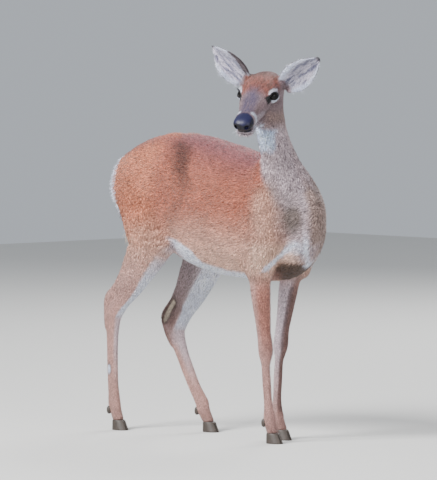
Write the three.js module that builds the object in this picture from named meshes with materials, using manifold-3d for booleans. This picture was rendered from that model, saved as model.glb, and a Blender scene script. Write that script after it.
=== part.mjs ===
// A white-tailed deer doe, life size, standing on four feet with her head turned to her right.
// Millimetres, +Z up. She faces +X, her left side is +Y and the ground is Z = 0.
// The body is one smooth form: limbs swept along their bones and melted into each other. It is
// meshed region by region and parted by thin plane cuts near the joints, so each piece is a solid.
import * as THREE from "three";
import { mergeVertices } from "three/addons/utils/BufferGeometryUtils.js";
import Module from "manifold-3d";

const wasm = await Module();
wasm.setup();

// ---- driving dimensions ---------------------------------------------------------------------
const WITHERS_HEIGHT = 866; // ground to the top of the shoulders, coat included
const DRAWN_WITHERS = 866; // the withers height that all the places below are written for
const GAP = 0.3; // clearance between two pieces that touch
const HEAD_TURN = -63; // degrees about +Z: the head looks to her right
const HEAD_DIP = 20.5; // degrees that the line of the face drops below the horizontal
const HEAD_ROLL = -3.5; // degrees, left side lower
const HEAD_SCALE = 1.03; // the head's tables are written for a head of 264 mm
const HEAD_PLACE = [214, -128, 1066]; // the point midway between the eyes
const EYE = { radius: 16.5, place: [3, 46, 3] }; // place in the head's frame, left eye
const EAR = { length: 146, width: 92, wall: 5, cup: 20, rows: 8, columns: 6 };
// An ear's outline is tip + (1 - tip) sin(pi (start + (1 - start) s ** low)) ** full. Its wall
// thins by thin to the tip and by edge to the rims, and its cup starts at curl and sinks by sink.
const EAR_FORM = { tip: 0.04, start: 0.13, low: 0.85, full: 0.8, thin: 0.55, edge: 0.7 };
const EAR_CURVE = { curl: 0.25, round: 0.8, sink: 0.45 };
const EAR_ROOT = { right: [-56, -54, 22], left: [-56, 65, 12] }; // in the head's frame
const EAR_WAY = { right: [-0.06, -0.735, 0.675], left: [-0.06, 0.76, 0.645] }; // root to tip
const EAR_OUTWARD = 6; // degrees that an ear's opening is turned out from straight ahead
const HOOF = { length: 60, width: 20, height: 32, gap: 3, forward: 9 };
const HOOF_PLAN = { back: -0.42, heel: -0.5, widest: -0.1, ball: 0.3, toe: 0.5 }; // in lengths
const HOOF_NOSE = { full: 0.95, blunt: 0.18 }; // widths at the ball and at the toe
const HOOF_TAPER = { length: 0.3, width: 0.14, lean: 8 }; // from the sole to the top
const DEWCLAW = { radii: [9, 7, 13], back: 13, apart: 12, below: 26 };

// ---- the joints of the legs -----------------------------------------------------------------
const FORE_JOINTS = {
  right: [[180, -84, 575], [179, -64, 296], [189, -56, 88], [204, -55, 26]], // elbow, knee,
  left: [[164, 88, 588], [125, 53, 305], [112, 50, 90], [134, 50, 26]], // fetlock, coffin bone
};
const HIND_JOINTS = {
  right: [[-350, -58, 836], [-262, -95, 592], [-486, -87, 366], [-489, -85, 88], [-469, -85, 26]],
  left: [[-350, 58, 836], [-194, 95, 578], [-379, 80, 317], [-254, 75, 90], [-222, 75, 26]],
}; // hip, stifle, hock, fetlock, coffin bone
const HIND_TURN = { right: 0, left: 20 }; // degrees that the leg below the stifle turns out

// ---- the stations of the body ---------------------------------------------------------------
// A leg's row is [place, shift, side, fore, aft]. The place runs along the joints: 1.5 is halfway
// between the second and the third. The shift moves the ring to the front, and side, fore and
// aft are its reach across, to the front and to the back.
const FORELEG = [
  [0, 0, 32, 43, 55],
  [0.14, -7, 30, 40, 46],
  [0.29, -9, 28, 36, 38],
  [0.49, -8, 27, 30, 31],
  [0.71, -5, 23, 25, 25],
  [0.86, -3, 20.5, 22, 23],
  [0.96, -1, 21.5, 24, 22],
  [1.06, 0, 22, 24, 23],
  [1.16, -1, 18, 19, 20],
  [1.3, -3, 12.5, 13.5, 15],
  [1.56, -3, 12.5, 13.5, 15.5],
  [1.82, -2, 12, 13, 15],
  [2, 0, 16, 17, 20],
  [2.24, 0, 17, 16, 26],
  [2.46, -1, 16, 15, 23],
  [2.85, 0, 17, 16, 18],
  [3, 0, 17, 15, 17],
];
const THIGH = [
  [0, 0, 40, 84, 78],
  [0.17, -37, 54, 126, 92],
  [0.41, -47, 58, 138, 98],
  [0.68, -43, 56, 114, 97],
  [1, -46, 49, 77, 86],
  [1.28, -24, 41, 55, 76],
  [1.5, -20, 30, 42, 57],
  [1.7, -19, 20, 28, 42],
];
const SHANK = [
  [0.99, 14, 36, 34, 56],
  [1.27, 0, 33, 41, 44],
  [1.58, -5, 25, 41, 33],
  [1.8, -8, 20.5, 34, 25],
  [1.98, -3, 20.5, 30, 27],
  [2.1, -7, 17.5, 26, 28],
  [2.3, -8, 14, 19, 25],
  [2.55, -7, 13.5, 17, 24],
  [2.78, -5, 13.5, 16.5, 23],
  [2.9, -2, 14.5, 18, 23],
  [3, 0, 16.5, 20, 24],
  [3.24, 0, 17, 17, 27],
  [3.46, 0, 16, 15.5, 23],
  [3.84, 0, 17, 16, 18],
  [4, 0, 17, 15, 17],
];
// The cord of the heel, from the calf over the point of the hock and down behind it.
const HEEL = [
  [1.42, -70, 13, 34, 14],
  [1.62, -57, 12, 38, 10],
  [1.8, -55, 11, 38, 12],
  [1.92, -54, 13, 32, 15],
  [2.03, -33, 13, 22, 13],
  [2.14, -28, 12, 16, 10],
];
// A row below is [x, y, z, side, fore or top, aft or underside, turn], the turn being that of the
// width's direction about +Z, in degrees.
const TRUNK = [
  [-510, 0, 797, 14, 24, 26],
  [-496, 0, 790, 48, 67, 52],
  [-472, 0, 778, 82, 108, 88],
  [-410, 0, 762, 108, 144, 124],
  [-340, 0, 760, 117, 170, 104],
  [-265, 0, 755, 120, 184, 162],
  [-170, 0, 735, 118, 199, 200],
  [-70, 0, 700, 127, 214, 194],
  [30, 0, 685, 127, 206, 187],
  [110, 0, 675, 115, 192, 183],
  [190, 0, 675, 96, 176, 175],
  [252, 0, 680, 76, 143, 150],
  [296, 0, 685, 57, 98, 112],
  [318, 0, 685, 34, 56, 66],
];
const NECK = [
  [184, -58, 1080, 38, 42, 40, -58],
  [186, -60, 1038, 43, 50, 46, -50],
  [191, -56, 982, 47, 57, 51, -42],
  [198, -47, 925, 48, 60, 56, -30],
  [210, -29, 860, 52, 68, 66, -18],
  [220, -13, 795, 58, 81, 86, -8],
  [224, -3, 735, 63, 84, 96, 0],
  [212, 0, 680, 66, 88, 96, 0],
];
const SHOULDER = [
  [156, 40, 832, 18, 48, 58],
  [182, 62, 776, 26, 54, 68],
  [203, 76, 716, 31, 52, 76],
  [223, 83, 656, 30, 46, 88],
  [214, 88, 606, 32, 42, 84],
  [187, 89, 568, 32, 42, 62],
  [168, 90, 535, 31, 41, 50],
];
const TAIL = [
  [-476, 0, 850, 18, 18, 18],
  [-508, 0, 846, 27, 16, 17],
  [-530, 0, 818, 38, 14, 15],
  [-537, 0, 775, 42, 13, 14],
  [-537, 0, 730, 33, 12, 13],
  [-529, 0, 680, 25, 10, 11],
  [-519, 0, 635, 15, 7, 8],
  [-514, 0, 612, 5, 3, 3],
];
// The head's own frame: x to the nose, y to her left, z to the crown, from between the eyes.
const SKULL = [
  [-106, 0, -6, 26, 24, 34],
  [-88, 0, 2, 44, 36, 50],
  [-60, 0, 4, 53, 41, 50],
  [-28, 0, 4, 54, 43, 48],
  [0, 0, 1, 50, 39, 46],
  [25, 0, -7, 47, 34, 42],
  [50, 0, -14, 42, 28, 38],
  [80, 0, -20, 34, 24, 34],
  [110, 0, -25, 29, 22, 29],
  [135, 0, -28, 31, 21, 26],
  [150, 0, -31, 30, 18, 22],
  [160, 0, -35, 21, 10, 13],
];
const JAW = [
  [-78, 0, -52, 26, 26, 28],
  [-50, 0, -63, 29, 24, 31],
  [-15, 0, -68, 26, 20, 25],
  [30, 0, -67, 20, 15, 17],
  [70, 0, -66, 18, 12, 12],
  [105, 0, -64, 22, 11, 11],
  [128, 0, -61, 26, 9, 11],
  [144, 0, -58, 23, 6, 9],
];
// Rounded forms melted onto both sides of the head: centre on the left, radii, melt.
const HEAD_BUMPS = [
  [[-5, 41, 16], [27, 15, 13], 12], // the brow over the eye
  [[-40, 33, -46], [38, 18, 36], 20], // the chewing muscle of the cheek
  [[-60, 50, 19], [22, 17, 23], 16], // the root of the ear
  [[148, 14, -28], [12, 9, 10], 6], // the wing of the nostril
];

// ---- limbs ----------------------------------------------------------------------------------
const UP = new THREE.Vector3(0, 0, 1);
const LEFT = new THREE.Vector3(0, 1, 0);
const radians = THREE.MathUtils.degToRad;
const clamp = THREE.MathUtils.clamp;

const BEND = 0.15; // share of a bone on each side of a joint over which the way turns
const TURN_START = 0.6; // place along the joints where a leg's turn begins

// The direction along a chain of joints, turning smoothly past each one.
function chainWay(joints, place) {
  const way = (i) => joints[i + 1].clone().sub(joints[i]).normalize();
  const i = clamp(Math.floor(place), 0, joints.length - 2);
  const t = place - i;
  if (t < BEND && i > 0) return way(i - 1).lerp(way(i), 0.5 + (0.5 * t) / BEND).normalize();
  if (t > 1 - BEND && i < joints.length - 2)
    return way(i).lerp(way(i + 1), (0.5 * (t - 1 + BEND)) / BEND).normalize();
  return way(i);
}

// A leg's rows turned into rows with places in space. The leg's turn grows evenly over the
// length of one bone.
function alongJoints(points, rows, turn = 0) {
  const joints = points.map((p) => new THREE.Vector3(...p));
  return rows.map(([place, shift, ...reach]) => {
    const i = clamp(Math.floor(place), 0, joints.length - 2);
    const way = chainWay(joints, place);
    const turned = turn * clamp(place - TURN_START, 0, 1);
    const across = LEFT.clone().applyAxisAngle(UP, radians(turned));
    across.addScaledVector(way, -across.dot(way)).normalize();
    const centre = joints[i].clone().lerp(joints[i + 1], place - i);
    return [...centre.addScaledVector(way.cross(across), shift), ...reach, turned];
  });
}

// The values of a table at a place along it, on a Catmull-Rom curve through its rows.
function rowAt(rows, place) {
  const i = Math.min(Math.floor(place), rows.length - 2);
  const t = place - i;
  const [a, b, c, d] = [i - 1, i, i + 1, i + 2].map((k) => rows[clamp(k, 0, rows.length - 1)]);
  const cubic = (p, q, r, s) =>
    q + 0.5 * t * (r - p + t * (2 * p - 5 * q + 4 * r - s + t * (3 * q - p - 3 * r + s)));
  return b.map((_, k) => cubic(a[k], b[k], c[k], d[k]));
}

// A limb is a list of rings. Each has its centre, the direction run along the limb, across and
// up, and its reach to the side, fore and aft. melt is how wide the limb melts into the rest,
// and square above 2 flattens its sides.
function limb(rows, { melt = 20, square = 2, place = new THREE.Matrix4(), steps = 4 } = {}) {
  const rings = [];
  for (let i = 0; i <= steps * (rows.length - 1); i++) {
    const [x, y, z, side, fore, aft, turn = 0] = rowAt(rows, i / steps);
    rings.push({ centre: new THREE.Vector3(x, y, z), side, fore, aft, turn: radians(turn) });
  }
  const last = rings.length - 1;
  rings.forEach((ring, i) => {
    const before = rings[Math.max(i - 1, 0)].centre;
    const after = rings[Math.min(i + 1, last)].centre;
    ring.run = after.clone().sub(before).normalize();
    const across = LEFT.clone().applyAxisAngle(UP, ring.turn);
    ring.across = across.addScaledVector(ring.run, -across.dot(ring.run)).normalize();
    ring.up = ring.run.clone().cross(ring.across);
  });
  for (const ring of rings) {
    ring.centre.applyMatrix4(place);
    for (const way of [ring.run, ring.across, ring.up]) way.transformDirection(place);
  }
  return { rings, melt, square };
}

// How far a point lies outside the stretch between two rings, negative inside: its distance
// from the line, less the reach of the section in its direction.
function stretchDistance(point, a, b, square) {
  const [ca, cb] = [a.centre, b.centre];
  const [ax, ay, az] = [cb.x - ca.x, cb.y - ca.y, cb.z - ca.z];
  const [px, py, pz] = [point.x - ca.x, point.y - ca.y, point.z - ca.z];
  const t = clamp((px * ax + py * ay + pz * az) / (ax * ax + ay * ay + az * az), 0, 1);
  const mix = (p, q) => p + (q - p) * t;
  const [qx, qy, qz] = [px - ax * t, py - ay * t, pz - az * t];
  const reach = (v, w) => qx * mix(v.x, w.x) + qy * mix(v.y, w.y) + qz * mix(v.z, w.z);
  const side = mix(a.side, b.side);
  const height = reach(a.up, b.up);
  const depth = height > 0 ? mix(a.fore, b.fore) : mix(a.aft, b.aft);
  const u = Math.abs(reach(a.across, b.across)) / side;
  const v = Math.abs(height) / depth;
  const w = Math.abs(reach(a.run, b.run)) / Math.min(side, depth);
  const section = square === 2 ? Math.hypot(u, v) : (u ** square + v ** square) ** (1 / square);
  const k = Math.hypot(section, w);
  const far = Math.hypot(qx, qy, qz);
  return k < 1e-6 ? -Math.min(side, depth) : far - far / k;
}

function limbDistance(point, { rings, square }) {
  let best = Infinity;
  for (let i = 0; i + 1 < rings.length; i++) {
    const [a, b] = [rings[i], rings[i + 1]];
    const reach = 1.3 * Math.max(a.side, a.fore, a.aft) + a.centre.distanceTo(b.centre);
    if (point.distanceTo(a.centre) - reach > best) continue;
    best = Math.min(best, stretchDistance(point, a, b, square));
  }
  return best;
}

// The smooth union of two distances: where they are within melt of each other, the crease fills.
function melted(a, b, melt) {
  const h = Math.max(melt - Math.abs(a - b), 0) / melt;
  return Math.min(a, b) - (h * h * melt) / 4;
}

// ---- the whole body -------------------------------------------------------------------------
const headPlace = new THREE.Matrix4()
  .makeTranslation(...HEAD_PLACE)
  .multiply(new THREE.Matrix4().makeRotationZ(radians(HEAD_TURN)))
  .multiply(new THREE.Matrix4().makeRotationY(radians(HEAD_DIP)))
  .multiply(new THREE.Matrix4().makeRotationX(radians(HEAD_ROLL)))
  .multiply(new THREE.Matrix4().makeScale(HEAD_SCALE, HEAD_SCALE, HEAD_SCALE));
const otherSide = (rows) => rows.map(([x, y, ...rest]) => [x, -y, ...rest]);
const headRows = (rows) =>
  rows.map(([x, y, z, ...reach]) => [x, y, z, ...reach.map((r) => r * HEAD_SCALE)]);

const BODY = [
  limb(TRUNK, { square: 2.25 }),
  limb(NECK, { melt: 60 }),
  limb(SHOULDER, { melt: 40 }),
  limb(otherSide(SHOULDER), { melt: 40 }),
  limb(headRows(SKULL), { melt: 34, square: 2.3, place: headPlace }),
  limb(headRows(JAW), { melt: 22, place: headPlace }),
];
for (const side of ["right", "left"]) {
  const hind = (rows) => alongJoints(HIND_JOINTS[side], rows, HIND_TURN[side]);
  BODY.push(limb(hind(THIGH), { melt: 34 }));
  BODY.push(limb(hind(SHANK), { melt: 22 }));
  BODY.push(limb(hind(HEEL), { melt: 16 }));
  BODY.push(limb(alongJoints(FORE_JOINTS[side], FORELEG), { melt: 26 }));
}

const BUMPS = HEAD_BUMPS.flatMap(([[x, y, z], radii, melt]) =>
  [-y, y].map((side) => ({
    inverse: headPlace.clone().multiply(new THREE.Matrix4().makeTranslation(x, side, z)).invert(),
    radii,
    melt,
  })),
);

function bumpDistance(point, { inverse, radii }) {
  const q = point.clone().applyMatrix4(inverse);
  const k = Math.hypot(q.x / radii[0], q.y / radii[1], q.z / radii[2]);
  return k < 1e-6 ? -Math.min(...radii) : HEAD_SCALE * q.length() * (1 - 1 / k);
}

function bodyDistance(point) {
  let d = Infinity;
  for (const part of BODY) {
    const one = limbDistance(point, part);
    d = d === Infinity ? one : melted(d, one, part.melt);
  }
  for (const bump of BUMPS) d = melted(d, bumpDistance(point, bump), bump.melt);
  return d;
}

const tailLimb = limb(TAIL);

// ---- meshing --------------------------------------------------------------------------------
// The edges of a cell: number 4 * axis + 2 * p + q runs along its axis, p and q steps away along
// the next two axes. The faces list their four edges in turn, with a corner after each.
const AXES = [0, 1, 2];
const BITS = [0, 1];
const offset = (axis, along, p, q) => {
  const v = [0, 0, 0];
  [v[axis], v[(axis + 1) % 3], v[(axis + 2) % 3]] = [along, p, q];
  return v;
};
const CELL_EDGES = AXES.flatMap((axis) =>
  BITS.flatMap((p) => BITS.map((q) => [offset(axis, 0, p, q), offset(axis, 1, p, q)])),
);
const CELL_FACES = AXES.flatMap((axis) => {
  const [u, v] = [4 * ((axis + 1) % 3), 4 * ((axis + 2) % 3)];
  return BITS.map((s) => ({
    edges: [u + s, v + 2 * s + 1, u + 2 + s, v + 2 * s],
    corners: [[1, 0], [1, 1], [0, 1], [0, 0]].map(([p, q]) => offset(axis, s, p, q)),
  }));
});

// The sheets of surface in one cell, each as a list of the edges that it crosses.
function sheetsIn(inside) {
  const sheet = CELL_EDGES.map(([a, b], e) => (inside(a) === inside(b) ? -1 : e));
  const unite = (e, f) => {
    const [from, to] = [sheet[f], sheet[e]];
    sheet.forEach((s, i) => s === from && (sheet[i] = to));
  };
  for (const { edges, corners } of CELL_FACES) {
    const crossed = edges.filter((e) => sheet[e] >= 0);
    if (crossed.length === 2) unite(crossed[0], crossed[1]);
    if (crossed.length === 4)
      corners.forEach((corner, i) => inside(corner) && unite(edges[i], edges[(i + 1) % 4]));
  }
  const names = [...new Set(sheet)].filter((s) => s >= 0);
  return names.map((s) => [...sheet.keys()].filter((e) => sheet[e] === s));
}

// The surface where a field is zero, inside a box of cells, by surface nets: one vertex for each
// sheet of it in a cell, slid onto it, and a quad across each crossed edge of the grid.
function surface(field, { place, low, high, cell }) {
  const cells = cell.map((c, k) => Math.ceil((high[k] - low[k]) / c) + 4);
  const n = cells.map((c) => c + 1);
  const at = (i, j, k) => (k * n[1] + j) * n[0] + i;
  const world = (i, j, k) =>
    new THREE.Vector3(...[i, j, k].map((v, axis) => low[axis] + (v - 2) * cell[axis])).applyMatrix4(place);
  const value = new Float64Array(n[0] * n[1] * n[2]);
  const small = Math.min(...cell);
  for (let k = 0; k < n[2]; k++)
    for (let j = 0; j < n[1]; j++)
      for (let i = 0; i < n[0]; i++) {
        const rim = [i, j, k].some((v, axis) => v === 0 || v === n[axis] - 1);
        value[at(i, j, k)] = rim ? small : field(world(i, j, k));
      }
  const vertices = [];
  const vertexOf = new Map();
  for (let k = 0; k < cells[2]; k++)
    for (let j = 0; j < cells[1]; j++)
      for (let i = 0; i < cells[0]; i++) {
        const valueAt = (c) => value[at(i + c[0], j + c[1], k + c[2])];
        for (const sheet of sheetsIn((corner) => valueAt(corner) < 0)) {
          const sum = [0, 0, 0];
          for (const edge of sheet) {
            const [a, b] = CELL_EDGES[edge];
            const t = valueAt(a) / (valueAt(a) - valueAt(b));
            AXES.forEach((axis) => (sum[axis] += a[axis] + (b[axis] - a[axis]) * t));
            vertexOf.set(12 * at(i, j, k) + edge, vertices.length);
          }
          const [x, y, z] = sum.map((s) => s / sheet.length);
          vertices.push(settled(world(i + x, j + y, k + z), field, 0.7 * small));
        }
      }
  const index = [];
  for (let k = 0; k < cells[2]; k++)
    for (let j = 0; j < cells[1]; j++)
      for (let i = 0; i < cells[0]; i++)
        for (const axis of AXES) {
          const [x, y, z] = offset(axis, 1, 0, 0);
          const inside = value[at(i, j, k)] < 0;
          if (inside === value[at(i + x, j + y, k + z)] < 0) continue;
          const corner = (p, q) => {
            const [a, b, c] = offset(axis, 0, p, q);
            return vertexOf.get(12 * at(i - a, j - b, k - c) + 4 * axis + 2 * p + q);
          };
          const quad = [corner(0, 0), corner(1, 0), corner(1, 1), corner(0, 1)];
          if (!inside) quad.reverse();
          const across = (p, q) => vertices[quad[p]].distanceTo(vertices[quad[q]]);
          if (across(0, 2) > across(1, 3)) quad.push(quad.shift());
          const [a, b, c, d] = quad;
          index.push(a, b, c, a, c, d);
        }
  return geometryFrom(vertices, index);
}

// A point slid along the field's slope onto the surface, unless that lies further than most.
function settled(start, field, most) {
  const point = start.clone();
  const h = 0.5;
  for (let round = 0; round < 3; round++) {
    const d = field(point);
    const slope = new THREE.Vector3();
    for (const axis of ["x", "y", "z"]) {
      const aside = point.clone();
      aside[axis] += h;
      slope[axis] = (field(aside) - d) / h;
    }
    point.addScaledVector(slope, -d / Math.max(slope.lengthSq(), 0.3));
  }
  return point.distanceTo(start) > most ? start : point;
}

function geometryFrom(vertices, index) {
  const geometry = new THREE.BufferGeometry();
  geometry.setAttribute("position", new THREE.Float32BufferAttribute(vertices.flatMap((v) => [...v]), 3));
  geometry.setIndex(index);
  return geometry;
}

// A closed skin over a list of rings with equal counts of points, with a fan over each end.
function loft(rings) {
  const count = rings[0].length;
  const vertices = rings.flat();
  const index = [];
  for (let r = 0; r + 1 < rings.length; r++)
    for (let i = 0; i < count; i++) {
      const [a, b] = [r * count + i, r * count + ((i + 1) % count)];
      index.push(a, b, b + count, a, b + count, a + count);
    }
  for (const [r, turned] of [[0, true], [rings.length - 1, false]]) {
    const middle = rings[r].reduce((sum, p) => sum.add(p), new THREE.Vector3()).divideScalar(count);
    vertices.push(middle);
    for (let i = 0; i < count; i++) {
      const [a, b] = [r * count + i, r * count + ((i + 1) % count)];
      index.push(...(turned ? [b, a, vertices.length - 1] : [a, b, vertices.length - 1]));
    }
  }
  return geometryFrom(vertices, index);
}

// ---- solids ---------------------------------------------------------------------------------
function solidOf(geometry) {
  const bare = geometry.clone();
  bare.deleteAttribute("normal");
  bare.deleteAttribute("uv");
  const merged = mergeVertices(bare, 1e-3);
  const vertProperties = new Float32Array(merged.getAttribute("position").array);
  const triVerts = new Uint32Array(merged.index.array);
  return new wasm.Manifold(new wasm.Mesh({ numProp: 3, vertProperties, triVerts }));
}

function geometryOf(solid) {
  const { numProp, vertProperties, triVerts } = solid.getMesh();
  const places = [];
  for (const v of triVerts) places.push(...vertProperties.slice(v * numProp, v * numProp + 3));
  const geometry = new THREE.BufferGeometry();
  geometry.setAttribute("position", new THREE.Float32BufferAttribute(places, 3));
  geometry.computeVertexNormals();
  return geometry;
}

function boxSolid({ place, low, high }, grow = 0) {
  const size = high.map((h, k) => h - low[k] + 2 * grow);
  const middle = high.map((h, k) => (h + low[k]) / 2);
  const box = new THREE.BoxGeometry(...size).translate(...middle).applyMatrix4(place);
  return solidOf(box);
}

const ballSolid = ([x, y, z], [a, b, c], sides) =>
  solidOf(new THREE.SphereGeometry(1, sides, Math.round(sides * 0.7)).scale(a, b, c).translate(x, y, z));

// ---- regions --------------------------------------------------------------------------------
// A region is a box in a frame of its own, and cell is the size of its mesh's cells. The first
// region that holds a place owns it, and the trunk takes what is left.
const upright = new THREE.Matrix4();
const leaning = (degrees) => new THREE.Matrix4().makeRotationY(radians(degrees));
const unscaled = new THREE.Matrix4().makeScale(1 / HEAD_SCALE, 1 / HEAD_SCALE, 1 / HEAD_SCALE);
const inHead = (degrees) => headPlace.clone().multiply(unscaled).multiply(leaning(degrees));

const REGIONS = [
  { name: "nose", place: inHead(0), low: [148, -40, -53], high: [185, 40, 0], cell: [11, 11, 11] },
  { name: "lower_jaw", place: inHead(2), low: [62, -50, -120], high: [190, 50, -54], cell: [16, 11, 11] },
  { name: "head", place: inHead(14.5), low: [-160, -110, -107], high: [185, 110, 110], cell: [16, 15, 15] },
  { name: "neck", place: leaning(33), low: [-600, -170, 812], high: [-150, 150, 1110], cell: [34, 28, 36] },
];
for (const [side, sign] of [["right", -1], ["left", 1]]) {
  const across = (near, far) => [near * sign, far * sign].sort((a, b) => a - b);
  const box = (name, place, [x0, x1], [near, far], [z0, z1], cell) => {
    const [y0, y1] = across(near, far);
    REGIONS.push({ name: `${side}_${name}`, place, low: [x0, y0, z0], high: [x1, y1, z1], cell });
  };
  // A cannon's box stands on its fetlock and leans along the bone, short of its upper joint.
  const cannon = (name, top, [x, y, z], short) => {
    const bone = new THREE.Vector3(...top).sub(new THREE.Vector3(x, y, z));
    const place = new THREE.Matrix4().makeTranslation(x, y, z);
    place.multiply(new THREE.Matrix4().makeRotationY(Math.atan2(bone.x, bone.z)));
    const high = [60, 45, bone.length() - short];
    REGIONS.push({ name: `${side}_${name}`, place, low: [-60, -45, 20], high, cell: [14, 12, 48] });
  };
  const [, knee, foreFetlock] = FORE_JOINTS[side];
  const [, stifle, hock, hindFetlock] = HIND_JOINTS[side];
  const kneeCut = knee[2] - 4;
  box("foreleg", upright, [75, 250], [28, 170], [kneeCut - 20, 552], [24, 18, 40]);
  cannon("fore_cannon", knee, foreFetlock, 4);
  const foreX = [knee[0] - 95, knee[0] + 95];
  box("fore_pastern", upright, foreX, [20, 100], [HOOF.height + GAP, foreFetlock[2] + 40], [13, 12, 17]);
  box("thigh", leaning(37), [-900, -450], [42, 200], [212, 372], [42, 32, 42]);
  cannon("hind_cannon", hock, hindFetlock, 34);
  const hockTop = hock[2] + 105;
  box("hock", upright, [-570, stifle[0] + 68], [42, 200], [hock[2] - 80, hockTop], [19, 15, 25]);
  const hindX = [hindFetlock[0] - 110, hindFetlock[0] + 80];
  box("hind_pastern", upright, hindX, [42, 140], [HOOF.height + GAP, hindFetlock[2] + 50], [13, 12, 17]);
  box("gaskin", leaning(37), [-760, -340], [42, 200], [-60, 212 - GAP], [34, 22, 34]);
}
const TAIL_REGION = { place: upright, low: [-600, -60, 590], high: [-440, 60, 890], cell: [18, 16, 34] };
const TRUNK_REGION = {
  name: "trunk",
  place: upright,
  low: [-560, -160, 470],
  high: [360, 160, 935],
  cell: [50, 42, 42],
};

// ---- ears, eyes, hooves ---------------------------------------------------------------------
// How wide an ear is at a place along it, from 0 to 1: widest below the middle, with a soft point.
function earOutline(s) {
  const { tip, start, low, full } = EAR_FORM;
  return tip + (1 - tip) * Math.sin(Math.PI * (start + (1 - start) * s ** low)) ** full;
}

// An ear is a leaf rolled into a cup: each ring is an arc, run out along the back and home along
// the inside.
function earSolid(side) {
  const sign = Math.sign(EAR_ROOT[side][1]);
  const way = new THREE.Vector3(...EAR_WAY[side]).normalize();
  const ahead = new THREE.Vector3(1, 0, 0).applyAxisAngle(UP, radians(EAR_OUTWARD) * sign);
  ahead.addScaledVector(way, -ahead.dot(way)).normalize();
  const across = new THREE.Vector3().crossVectors(way, ahead);
  const root = new THREE.Vector3(...EAR_ROOT[side]);
  const { rows, columns } = EAR;
  const { curl, round, sink } = EAR_CURVE;
  const rings = [];
  for (let r = 0; r <= rows; r++) {
    const s = r / rows;
    const half = (EAR.width / 2) * earOutline(s);
    const cup = EAR.cup * Math.sin(Math.PI * Math.min(1, curl + (1 - curl) * s)) ** round;
    const wall = (EAR.wall * (1 - EAR_FORM.thin * s)) / 2;
    const middle = root.clone().addScaledVector(way, s * EAR.length);
    const ring = [];
    for (let i = 0; i < 2 * columns; i++) {
      const [a, out] = i < columns ? [i / (columns - 1), -1] : [(2 * columns - 1 - i) / (columns - 1), 1];
      const x = 2 * a - 1;
      const deep = cup * (x * x - sink) + out * wall * (1 - EAR_FORM.edge * x * x);
      ring.push(middle.clone().addScaledVector(across, x * half).addScaledVector(ahead, deep));
    }
    rings.push(ring.reverse());
  }
  return solidOf(loft(rings).applyMatrix4(headPlace));
}

function eyeSolid(sign, grow) {
  const [x, y, z] = EYE.place;
  const centre = new THREE.Vector3(x, y * sign, z).applyMatrix4(headPlace);
  const r = EYE.radius + grow;
  return ballSolid([...centre], [r, r, r], 10);
}

// One claw of a hoof: flat on the ground and along its inner face, rounded outside, drawn in
// towards the top, with its toe pointing to +X.
function clawSolid([x, y], sign) {
  const { length, width, height, gap, forward } = HOOF;
  const { back, heel, widest, ball, toe } = HOOF_PLAN;
  const plan = new THREE.Shape();
  plan.moveTo(back * length, 0);
  plan.quadraticCurveTo(heel * length, width, widest * length, width);
  plan.quadraticCurveTo(ball * length, width * HOOF_NOSE.full, toe * length, width * HOOF_NOSE.blunt);
  plan.lineTo(toe * length, 0);
  const claw = new THREE.ExtrudeGeometry(plan, { depth: height, bevelEnabled: false, curveSegments: 4 });
  const points = claw.getAttribute("position");
  for (let i = 0; i < points.count; i++) {
    const [px, py, high] = [points.getX(i), points.getY(i), points.getZ(i) / height];
    points.setX(i, px * (1 - HOOF_TAPER.length * high) - HOOF_TAPER.lean * high);
    points.setY(i, (py * (1 - HOOF_TAPER.width * high) + gap / 2) * sign);
  }
  if (sign < 0) flipFaces(claw);
  return solidOf(claw.translate(x + forward, y, 0));
}

function flipFaces(geometry) {
  const points = geometry.getAttribute("position").array;
  for (let i = 0; i < points.length; i += 9)
    for (let k = 0; k < 3; k++)
      [points[i + 3 + k], points[i + 6 + k]] = [points[i + 6 + k], points[i + 3 + k]];
}

function dewclawSolid([x, y, z], sign, grow) {
  const { radii, back, apart, below } = DEWCLAW;
  const centre = [x - back, y + apart * sign, z - below];
  return ballSolid(centre, radii.map((r) => r + grow), 6);
}

// ---- the model ------------------------------------------------------------------------------
const finish = (color, roughness) => ({ color, roughness, metalness: 0 });
const COAT = finish(0xa5724e, 0.9);
const GREY_COAT = finish(0x87705f, 0.9);
const LEG_COAT = finish(0xa98a6c, 0.9);
const WHITE_COAT = finish(0xe6dccb, 0.9);
const HORN = finish(0x2c2520, 0.5);
const WET_EYE = finish(0x120d0a, 0.05);
const WET_NOSE = finish(0x1c1a1b, 0.3);

const deer = new THREE.Group();
function add(name, solid, look) {
  const mesh = new THREE.Mesh(geometryOf(solid), new THREE.MeshStandardMaterial(look));
  mesh.name = name;
  deer.add(mesh);
}

function lookOf(name) {
  if (name === "nose") return WET_NOSE;
  if (name === "lower_jaw") return WHITE_COAT;
  if (name === "head" || name === "neck") return GREY_COAT;
  return /cannon|pastern|foreleg/.test(name) ? LEG_COAT : COAT;
}

// What is set into the flesh is cut out of it first, grown by the gap.
const inlaid = [];
for (const [side, sign] of [["right", -1], ["left", 1]]) {
  add(`${side}_eye`, eyeSolid(sign, 0), WET_EYE);
  inlaid.push(eyeSolid(sign, GAP));
  for (const [foot, joints] of [["fore", FORE_JOINTS], ["hind", HIND_JOINTS]]) {
    const [fetlock, coffin] = joints[side].slice(-2);
    for (const [which, way] of [["inner", -sign], ["outer", sign]]) {
      add(`${side}_${foot}_${which}_hoof`, clawSolid(coffin, way), HORN);
      add(`${side}_${foot}_${which}_dewclaw`, dewclawSolid(fetlock, way, 0), HORN);
      inlaid.push(dewclawSolid(fetlock, way, GAP));
    }
  }
}
const taken = wasm.Manifold.union(inlaid);

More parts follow.
